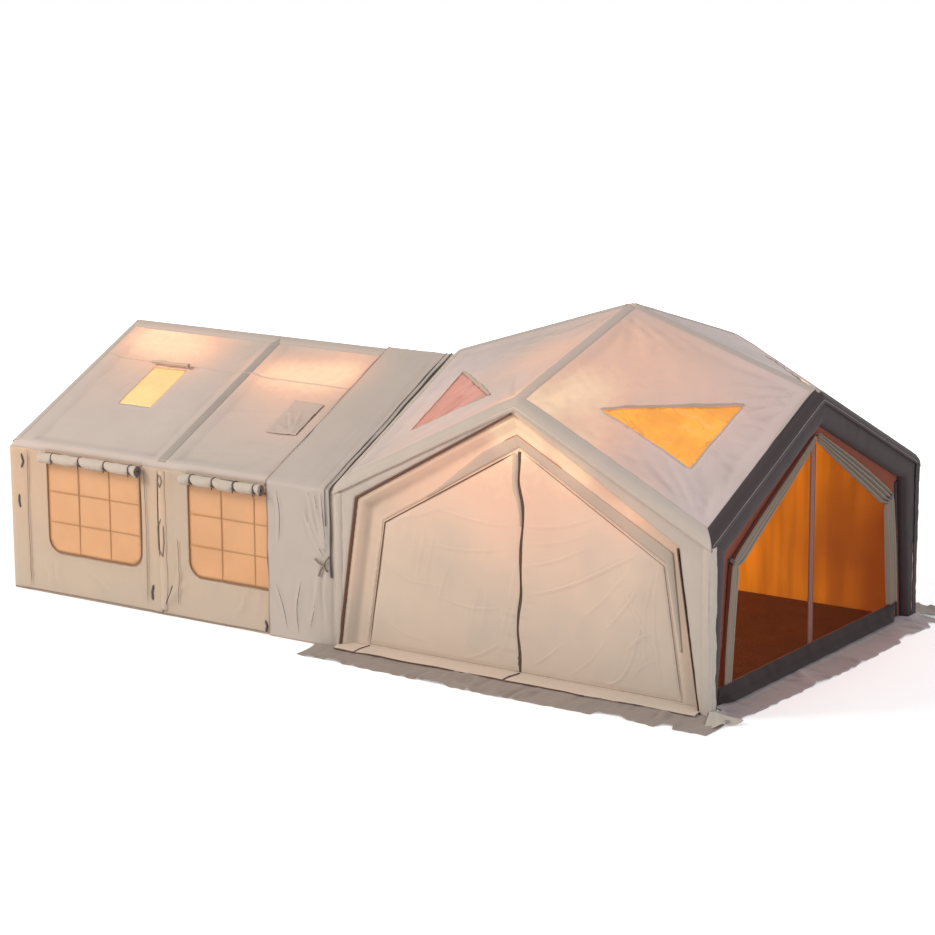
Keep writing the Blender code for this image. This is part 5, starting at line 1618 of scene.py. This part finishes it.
def make_annex_walls():
    for side, north in FRONT_AND_BACK:
        names = ["window_%s_%s" % (side, which) for which in ("outer", "inner")]
        holes = [window_line(node) for node in names]
        outline = box_line(ANNEX_OUTER, ANNEX_INNER, 0.004, ANNEX_EAVE - 0.045)
        if side == "back":
            holes, outline = [mirrored(hole) for hole in holes], mirrored(outline)
        wall = cut(outline, upright(side, ANNEX_HALF), holes, relief=annex_wall_lift, held=0.03)
        cloth = "annex_%s_wall_cloth" % side
        piece(cloth, wall, "wall", "annex_%s_wall" % side, slot="wall_canvas", thick=sizes().canvas,
              lining="lining", share_light=0.6)
        for node, hole in zip(names, holes):
            pane = cut(hole, upright(side, ANNEX_HALF - 0.001), (), 0.04,
                       relief=lambda u, v: -0.004 + 0.004 * soft_noise(u, v, 0.2, 0.3, 2), held=0.08)
            piece(node + "_film", pane, "film", node, slot="window_film", thick=sizes().sheer)
            rim = divided(hole, 0.04, True)
            rim = np.roll(rim, -int(np.argmax(rim[:, 1])), axis=0)
            free = np.abs(rim[:, 0]) >= abs(SLEEVE_START)  # the rest passes under the sleeve
            u, v = rim[free].T
            path = upright(side, ANNEX_HALF + 0.004)(u, v + 0.004 * soft_noise(u, v, 0.08, 0.08, 9), 0 * u)
            piece(node + "_piping", tube(path, 0.0065, closed=bool(free.all())), "window_piping")
            (left, bottom), (right, top) = np.min(hole, axis=0), np.max(hole, axis=0)
            ends = [u for u in (left, right) if abs(u) >= abs(SLEEVE_START)]
            if len(ends) == 1:
                ends.append(-north * (SLEEVE_START - 0.002))
            grid = window_grid((left, min(ends)), (right, max(ends)), bottom, top, upright(side, ANNEX_HALF))
            piece(node + "_grid", grid, "muntin")
    half, eave, peak = ANNEX_HALF - 0.004, ANNEX_EAVE - 0.05, ANNEX_RIDGE - 0.05
    gable = [(-half, 0.004), (half, 0.004), (half, eave), (0, peak), (-half, eave)]

    def relief(u, v):
        return -0.004 + 0.008 * soft_noise(u, v, 0.5, 0.6, 27) + sizes().crease * folds(u, v, 75, 0.13, 0.8, 28)

    end = cut(gable, upright("left", -ANNEX_OUTER), relief=relief, held=0.05)
    end.points[:, 0] = np.maximum(end.points[:, 0], HUB_X + ANNEX_OUTER - 0.01)
    piece("annex_end_wall_cloth", end, "wall", "annex_end_wall", slot="wall_canvas", thick=sizes().canvas,
          lining="lining")


def spiral(middle, radius, pitch, long, start, turn_sign, step=0.012):
    """A roll's end view, from its loose edge inwards, in two coordinates."""
    points, turn, made, reach = [], 0.0, 0.0, radius
    while made < long and reach > pitch:
        angle = start + turn_sign * turn
        points.append((middle[0] + reach * math.cos(angle), middle[1] + reach * math.sin(angle)))
        turn += step / reach
        made += step
        reach = radius - pitch * turn / (2 * math.pi)
    return np.array(points)


def rolled(columns, middle, section, swell, sag):
    """A roll of cloth along x. Its section at one turn is swell(turn) as large, and it sags a little."""
    rows, outs = [], []
    for y, z in section:
        size = swell(math.atan2(z - middle[1], y - middle[0]))
        dy, dz = (y - middle[0]) * size, (z - middle[1]) * size
        rows.append(np.stack([columns, middle[0] + dy, middle[1] + dz + sag], -1))
        outs.append(np.stack([0 * columns, dy, dz], -1))
    return skin(rows, outs)


def make_window_ties(middle, ties, north):
    """Loops round a rolled cover and their ends that hang down."""
    made = []
    turns = np.linspace(0, 2 * math.pi, 28, endpoint=False)
    y, z = middle
    for tie in ties:
        loop = np.stack([tie + 0.004 * np.sin(2 * turns), y + 0.043 * np.cos(turns), z + 0.043 * np.sin(turns)], -1)
        made.append(tube(loop, 0.006, closed=True))
        end = [(tie + dx, y + north * dy, z + dz) for dx, dy, dz in (
            (0, 0.047, -0.01), (0.008, 0.050, -0.035), (0.002, 0.042, -0.060))]
        made.append(tube(divided(end, 0.012), 0.006))
    return joined(made)


def make_window_covers():
    """Rolls with ties over the windows, and the cloth between roll and wall."""
    for side, north in FRONT_AND_BACK:
        for which in ("outer", "inner"):
            node = "window_cover_%s_%s" % (side, which)
            body, wall = node + "_body", "annex_%s_wall_cloth" % side
            a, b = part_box(node)
            middle = (north * (ANNEX_HALF + 0.0585), (a.z + b.z) / 2)
            columns = np.linspace(a.x + 0.002, b.x - 0.002, 110)
            ties = [a.x + (b.x - a.x) * share for share in (0.14, 0.42, 0.68, 0.93)]
            pinch = np.max([np.exp(-(((columns - tie) / 0.035) ** 2)) for tie in ties], axis=0)
            bulge = np.minimum(1.02 - 0.26 * pinch + 0.10 * soft_noise(columns, 0 * columns, 0.08, 1, 31), 1.08)
            sag = -0.012 * (1 - pinch) + 0.006 * soft_noise(columns, 0 * columns, 0.2, 1, 34)

            def swell(turn):
                return bulge * (1 + 0.05 * soft_noise(columns, 0 * columns + turn, 0.05, 0.8, 35))

            made = rolled(columns, middle, spiral(middle, 0.052, 0.0085, 0.93, math.pi / 2, -north), swell, sag)
            # The roll's inner turns take the dark tie finish: painted shade inside the roll
            piece(node + "_roll", made, "arch", node, body, "wall_canvas", 0.002, lining="tie")
            # A dark ring in the outer roll's open end: painted shade
            if which == "outer":
                ring = [(b.x - 0.004, middle[0] + 0.030 * math.cos(t), middle[1] - 0.004 + 0.030 * math.sin(t))
                        for t in np.linspace(0, 2 * math.pi, 24, endpoint=False)]
                piece(node + "_end", tube(ring, 0.017, closed=True), "tie", body=body)
            piece(node + "_ties", make_window_ties(middle, ties, north), "tie", body=body)
            top, bottom, x = ANNEX_EAVE - 0.030, middle[1] + 0.030, (a.x + b.x) / 2
            out = north * (ANNEX_HALF + 0.010)
            rows = [[(column, out, bottom + (top - bottom) * share) for column in columns]
                    for share in np.linspace(1, 0, 26)]
            spread = ("tent", body, (x, middle[0], top - 0.002), (x, middle[0], bottom + 0.002))
            piece(node + "_cloth", skin(rows, (0, north, 0)), "wall", thick=0.0015, share_light=0.3,
                  blended=spread)


def make_skylight_covers():
    node = "skylight_cover_outer"
    a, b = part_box(node)
    middle = ((a.y + b.y) / 2, (a.z + b.z) / 2)
    columns = np.linspace(a.x + 0.002, b.x - 0.002, 40)
    bulge = 1 + 0.25 * soft_noise(columns, 0 * columns, 0.07, 1, 36)
    made = rolled(columns, middle, spiral(middle, 0.022, 0.006, 0.3, math.pi, -1), lambda turn: bulge,
                  0.006 * soft_noise(columns, 0 * columns, 0.12, 1, 37))
    piece(node + "_roll", made, "trim", node, node + "_body", "roof_canvas", 0.002)
    node = "skylight_cover_inner"
    a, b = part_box(node)

    def relief(u, v):
        return 0.005 + 0.012 * creased(u, v, FLAP_FOLDS, 0.014) + 0.003 * soft_noise(u, v, 0.06, 0.06, 38)

    outline = box_line(a.x - HUB_X + 0.01, b.x - HUB_X - 0.01, a.y + 0.01, b.y - 0.01)
    flap = cut(outline, on_annex_roof(0.008), step=0.014, relief=relief)
    piece(node + "_flap", flap, "ridge", node, node + "_body", "roof_canvas", 0.002)


# Pleats of the connecting sleeve's sides, drawn to the knot
PLEATS = [
    (1.5, ((-2.13, 1.36), (-2.08, 1.10), (-2.02, 0.86))),
    (1.4, ((-2.06, 1.38), (-2.04, 1.15), (-2.01, 0.90))),
    (1.2, ((-2.20, 1.38), (-2.14, 1.10), (-2.05, 0.88))),
    (1.2, ((-2.00, 0.74), (-2.03, 0.50), (-2.00, 0.20))),
    (1.0, ((-2.08, 0.72), (-2.12, 0.45), (-2.20, 0.15))),
    (0.9, ((-2.30, 0.55), (-2.36, 0.30), (-2.33, 0.08))),
    (0.8, ((-2.56, 1.36), (-2.52, 1.15), (-2.54, 0.90))),
    (0.9, ((-2.24, 1.20), (-2.16, 0.98), (-2.04, 0.82))),
    (0.8, ((-2.58, 0.50), (-2.50, 0.30), (-2.46, 0.10))),
]


def sleeve_section(out):
    """The sleeve's outline from foot to foot in y and z, and the direction out of it."""
    half = ANNEX_HALF + out
    lift = out * math.sqrt(1 + ((ANNEX_RIDGE - ANNEX_EAVE) / ANNEX_HALF) ** 2)
    side = [(-half, 0.004), (-half, ANNEX_EAVE + lift - 0.03), (-half + 0.04, ANNEX_EAVE + lift)]
    line = divided(side + [(0, ANNEX_RIDGE + lift)] + [(-y, z) for y, z in reversed(side)], 0.022)
    run = np.gradient(line, axis=0)
    run /= np.hypot(*run.T)[:, None]
    return line, np.stack([-run[:, 1], run[:, 0]], -1)


def make_sleeve():
    """The gathered sleeve between the annex and the hub, with the drawn seam by the hub's roof and painted shade on
    its pleats.
    """
    line, normal = sleeve_section(0.018)
    along = np.cumsum(np.r_[0, np.hypot(*np.diff(line, axis=0).T)])
    depth = sizes().crease
    rows, outs = [], []
    for x in np.linspace(SLEEVE_START, SLEEVE_END - 0.002, 44):
        u = 0 * along + x
        near = smooth_step(SLEEVE_START + 0.25, SLEEVE_END, u)
        on_roof = smooth_step(ANNEX_EAVE - 0.1, ANNEX_EAVE + 0.1, line[:, 1])
        wave = 0.008 * near * soft_noise(u, along, 0.04, 0.7, 43)
        wave += 0.006 * folds(u, along, 86, 0.07, 0.9, 44) * (1 + on_roof)
        wave += depth * (1 - on_roof) * creased(u, line[:, 1], PLEATS, 0.020) * 1.3
        place = line + normal * (wave + 0.002)[:, None]
        rows.append(np.stack([HUB_X + u, place[:, 0], place[:, 1]], -1))
        outs.append(np.stack([0 * u, normal[:, 0], normal[:, 1]], -1))
    piece("connecting_sleeve_cloth", skin(rows, outs), "sleeve", "connecting_sleeve", slot="beam_sleeve_canvas",
          thick=0.002, lining="lining")
    tubes, ring = [], sleeve_section(0.026)[0]
    for x, radius, foot in (
        (SLEEVE_END - 0.045, 0.009, 0.62), (SLEEVE_END - 0.10, 0.004, 1.1), (SLEEVE_START + 0.006, 0.0025, 0.02),
    ):
        y, z = ring[ring[:, 1] > foot].T
        path = np.stack([HUB_X + x + 0.012 * soft_noise(y, z, 0.3, 0.3, 47), y, z], -1)
        tubes.append(tube(path, radius * (0.8 + 0.4 * soft_noise(y, z, 0.15, 0.15, 48))))
    # Dark cords along the pleats: painted shade in their folds
    for north in (-1, 1):
        for share, line in PLEATS:
            line = divided([(x + 0.012, z) for x, z in rounded_line(line)], 0.02)
            path = [(HUB_X + x, north * (ANNEX_HALF + 0.026), z) for x, z in line]
            tubes.append(tube(path, tapered(0.0035 * share, len(line), 1, 0.2)))
    piece("sleeve_drawn_seam", joined(tubes), "tie")
    knots = []
    for north in (-1, 1):
        at = np.array([HUB_X - 2.03, north * (ANNEX_HALF + 0.03), 0.74])
        for dx, dz in ((-0.09, 0.05), (-0.05, -0.10), (0.07, 0.09), (0.05, -0.05)):
            end = at + (dx, 0.004 * north, dz)
            knots.append(tube(divided([at, at + (end - at) * 0.5 + (0, 0.012 * north, 0), end], 0.02), 0.009))
    piece("sleeve_knots", joined(knots), "webbing")


def make_ties():
    for name, _ in FRONT_AND_BACK:
        refinish("curtain_tie_" + name, "tie")


def make_hardware():
    for node in ("hub_valve_cap", "annex_valve_cap"):
        refinish(node, "plastic")
    for node in ("front_zip_slider", "mesh_zip_slider"):
        refinish(node, "metal")


# Stage


# The camera that was fitted to the photo's corners, eaves and peaks
CAMERA_PLACE = (14.895, -21.64, 7.125)
CAMERA_AZIMUTH = math.radians(34.54)
CAMERA_ELEVATION = math.radians(12.49)
CAMERA_ROLL = math.radians(-0.38)
FOCAL_PIXELS = 2911.8
IMAGE_PIXELS = 935
SENSOR_MM = 36.0
LAMPS_AIM = (0, 0, 1)
FLOOR_REACH, FLOOR_HEIGHT = 60, -0.001


def make_camera():
    az, el = CAMERA_AZIMUTH, CAMERA_ELEVATION
    view = Vector((-math.sin(az) * math.cos(el), math.cos(az) * math.cos(el), -math.sin(el)))
    right = Vector((math.cos(az), math.sin(az), 0))
    up = right.cross(view)
    turned_right = right * math.cos(CAMERA_ROLL) + up * math.sin(CAMERA_ROLL)
    turned_up = up * math.cos(CAMERA_ROLL) - right * math.sin(CAMERA_ROLL)
    lens = bpy.data.cameras.new("camera")
    lens.sensor_width = SENSOR_MM
    lens.lens = FOCAL_PIXELS / IMAGE_PIXELS * SENSOR_MM
    lens.clip_end = 200
    camera = bpy.data.objects.new("camera", lens)
    columns = Matrix((turned_right, turned_up, -view)).transposed().to_4x4()
    camera.matrix_world = Matrix.Translation(CAMERA_PLACE) @ columns
    bpy.context.scene.collection.objects.link(camera)
    bpy.context.scene.camera = camera


def add_lamp(name, place, size, power, hex_colour):
    lamp = bpy.data.lights.new(name, "AREA")
    lamp.size = size
    lamp.energy = power
    lamp.color = linear(hex_colour)
    made = bpy.data.objects.new(name, lamp)
    made.location = place
    made.rotation_mode = "QUATERNION"
    made.rotation_quaternion = (Vector(LAMPS_AIM) - Vector(place)).to_track_quat("-Z", "Y")
    bpy.context.scene.collection.objects.link(made)


def seen_directly(tree):
    """1 for rays from the camera and for those that gloss or film pass on, otherwise 0."""
    path = add(tree, "LightPath").node.outputs
    seen = add(tree, "Math", [path["Is Camera Ray"], path["Is Glossy Ray"]], operation="MAXIMUM")
    return add(tree, "Math", [seen, path["Is Transmission Ray"]], operation="MAXIMUM")


def make_stage():
    """White studio: a painted floor that keeps the shadow and fades to white, soft lamps and a white world."""
    world = bpy.data.worlds.new("studio")
    bpy.context.scene.world = world
    world.use_nodes = True
    tree = world.node_tree
    soft = add(tree, "Background", {"Color": (*linear("F1F1F3"), 1), "Strength": 0.45})
    white = add(tree, "Background", {"Color": (1, 1, 1, 1), "Strength": 1.0})
    feed(tree.nodes["World Output"], {"Surface": add(tree, "MixShader", [seen_directly(tree), soft, white])})
    add_lamp("key", (-10, -12, 11), 6, 1900, "FFF6EC")
    add_lamp("fill", (14, -7, 6), 8, 620, "F3F4FF")
    add_lamp("back", (3, 14, 9), 9, 700, "FFFFFF")
    floor_mesh = bpy.data.meshes.new("floor")
    corners = [(x, y, FLOOR_HEIGHT) for x, y in box_line(-FLOOR_REACH, FLOOR_REACH, -FLOOR_REACH, FLOOR_REACH)]
    floor_mesh.from_pydata(corners, [], [(0, 1, 2, 3)])
    floor = bpy.data.objects.new("floor", floor_mesh)
    made, tree, shader = blank("white_studio_floor_painted", Roughness=0.9, Specular_IOR_Level=0.0,
                               Emission_Color=(1, 1, 1, 1))
    base = layered(tree, (0.92, 0.92, 0.92, 1), [(blotches(tree, 1.5), (0.0, 1.0), (0.95, 0.95, 0.95, 1))])
    away = add(tree, "VectorMath", [add(tree, "TexCoord", out="Object")], "Value", operation="LENGTH")
    white_far = add(tree, "MapRange", [away, 5.0, 14.0, 0.38, 1.0])
    glow = add(tree, "Math", [white_far, seen_directly(tree)], operation="MULTIPLY")
    feed(shader, {"Base Color": base, "Emission Strength": glow})
    floor_mesh.materials.append(made)
    bpy.context.scene.collection.objects.link(floor)
    bpy.context.scene.view_settings.view_transform = "Standard"


# Operators and panel


class TENT_OT_stage(bpy.types.Operator):
    """Camera, floor, soft lamps and white world"""
    bl_idname = "tent.stage"
    bl_label = "Stage"

    def execute(self, context):
        make_camera()
        make_stage()
        return {"FINISHED"}


class TENT_OT_hub_beams(bpy.types.Operator):
    """Air beams of the hub"""
    bl_idname = "tent.hub_beams"
    bl_label = "Hub beams"

    def execute(self, context):
        make_hub_beams()
        return {"FINISHED"}


class TENT_OT_annex_beams(bpy.types.Operator):
    """Air beams of the annex"""
    bl_idname = "tent.annex_beams"
    bl_label = "Annex beams"

    def execute(self, context):
        make_annex_beams()
        return {"FINISHED"}


class TENT_OT_hub_roof(bpy.types.Operator):
    """Roof quarters, triangular skylights and their flaps"""
    bl_idname = "tent.hub_roof"
    bl_label = "Hub roof"

    def execute(self, context):
        make_hub_roof()
        return {"FINISHED"}


class TENT_OT_ridge_bands(bpy.types.Operator):
    """Bands over the hub's ridge beams"""
    bl_idname = "tent.ridge_bands"
    bl_label = "Ridge bands"

    def execute(self, context):
        make_ridge_bands()
        return {"FINISHED"}


class TENT_OT_gable_sleeves(bpy.types.Operator):
    """Sleeves over the gables' beams and corners"""
    bl_idname = "tent.gable_sleeves"
    bl_label = "Gable sleeves"

    def execute(self, context):
        make_fascias()
        make_rim_bands()
        make_corner_covers()
        return {"FINISHED"}


class TENT_OT_hub_walls(bpy.types.Operator):
    """Walls of the four gables"""
    bl_idname = "tent.hub_walls"
    bl_label = "Hub walls"

    def execute(self, context):
        make_hub_walls()
        return {"FINISHED"}


class TENT_OT_front_bands(bpy.types.Operator):
    """Grey band, bindings and piping round the canvas door"""
    bl_idname = "tent.front_bands"
    bl_label = "Front bands"

    def execute(self, context):
        make_front_bands()
        return {"FINISHED"}


class TENT_OT_front_door(bpy.types.Operator):
    """Both leaves of the canvas door and its zip"""
    bl_idname = "tent.front_door"
    bl_label = "Canvas door"

    def execute(self, context):
        make_front_door()
        return {"FINISHED"}


class TENT_OT_mesh_door(bpy.types.Operator):
    """Both leaves of the net door and its zip tape"""
    bl_idname = "tent.mesh_door"
    bl_label = "Net door"

    def execute(self, context):
        make_mesh_door()
        return {"FINISHED"}


class TENT_OT_curtains(bpy.types.Operator):
    """Canvas leaves tied back beside the net door"""
    bl_idname = "tent.curtains"
    bl_label = "Curtains"

    def execute(self, context):
        make_curtains()
        make_ties()
        return {"FINISHED"}


class TENT_OT_sill(bpy.types.Operator):
    """Padded sill and dark bands of the net door"""
    bl_idname = "tent.sill"
    bl_label = "Sill"

    def execute(self, context):
        make_sill()
        return {"FINISHED"}


class TENT_OT_skirts(bpy.types.Operator):
    """Flaps that lie on the ground round the hub"""
    bl_idname = "tent.skirts"
    bl_label = "Ground flaps"

    def execute(self, context):
        make_skirts()
        return {"FINISHED"}


class TENT_OT_groundsheets(bpy.types.Operator):
    """Floors of hub and annex"""
    bl_idname = "tent.groundsheets"
    bl_label = "Groundsheets"

    def execute(self, context):
        make_groundsheets()
        return {"FINISHED"}


class TENT_OT_annex_roof(bpy.types.Operator):
    """Slopes, skylights and bands of the annex's roof"""
    bl_idname = "tent.annex_roof"
    bl_label = "Annex roof"

    def execute(self, context):
        make_annex_roof()
        return {"FINISHED"}


class TENT_OT_annex_walls(bpy.types.Operator):
    """Walls and windows of the annex"""
    bl_idname = "tent.annex_walls"
    bl_label = "Annex walls"

    def execute(self, context):
        make_annex_walls()
        return {"FINISHED"}


class TENT_OT_annex_trim(bpy.types.Operator):
    """Post strips, loops, toggles and hems of the annex"""
    bl_idname = "tent.annex_trim"
    bl_label = "Annex trim"

    def execute(self, context):
        make_annex_trim()
        return {"FINISHED"}


class TENT_OT_window_covers(bpy.types.Operator):
    """Rolled covers over the windows, with their ties"""
    bl_idname = "tent.window_covers"
    bl_label = "Window covers"

    def execute(self, context):
        make_window_covers()
        return {"FINISHED"}


class TENT_OT_skylight_covers(bpy.types.Operator):
    """Roll and flap of the annex's skylights"""
    bl_idname = "tent.skylight_covers"
    bl_label = "Skylight covers"

    def execute(self, context):
        make_skylight_covers()
        return {"FINISHED"}


class TENT_OT_sleeve(bpy.types.Operator):
    """Gathered sleeve between annex and hub"""
    bl_idname = "tent.sleeve"
    bl_label = "Connecting sleeve"

    def execute(self, context):
        make_sleeve()
        return {"FINISHED"}


class TENT_OT_hardware(bpy.types.Operator):
    """Finishes of caps and zip sliders"""
    bl_idname = "tent.hardware"
    bl_label = "Hardware"

    def execute(self, context):
        make_hardware()
        return {"FINISHED"}


OPERATORS = [
    TENT_OT_stage,
    TENT_OT_hub_beams,
    TENT_OT_annex_beams,
    TENT_OT_hub_roof,
    TENT_OT_ridge_bands,
    TENT_OT_gable_sleeves,
    TENT_OT_hub_walls,
    TENT_OT_front_bands,
    TENT_OT_front_door,
    TENT_OT_mesh_door,
    TENT_OT_curtains,
    TENT_OT_sill,
    TENT_OT_skirts,
    TENT_OT_groundsheets,
    TENT_OT_annex_roof,
    TENT_OT_annex_walls,
    TENT_OT_annex_trim,
    TENT_OT_window_covers,
    TENT_OT_skylight_covers,
    TENT_OT_sleeve,
    TENT_OT_hardware,
]


class TENT_PT_panel(bpy.types.Panel):
    bl_label = "Tent"
    bl_space_type = "VIEW_3D"
    bl_region_type = "UI"
    bl_category = "Tent"

    def draw(self, context):
        for group in (context.scene.tent_sizes, context.scene.tent_colours):
            for name in group.__annotations__:
                self.layout.prop(group, name)
        for made in OPERATORS:
            self.layout.operator(made.bl_idname)


CLASSES = [TentSizes, TentColours, *OPERATORS, TENT_PT_panel]


def register():
    for made in CLASSES:
        bpy.utils.register_class(made)
    bpy.types.Scene.tent_sizes = bpy.props.PointerProperty(type=TentSizes)
    bpy.types.Scene.tent_colours = bpy.props.PointerProperty(type=TentColours)


def unregister():
    del bpy.types.Scene.tent_colours
    del bpy.types.Scene.tent_sizes
    for made in reversed(CLASSES):
        bpy.utils.unregister_class(made)


def main():
    register()
    for made in OPERATORS:
        group, name = made.bl_idname.split(".")
        getattr(getattr(bpy.ops, group), name)()


if __name__ == "__main__":
    main()
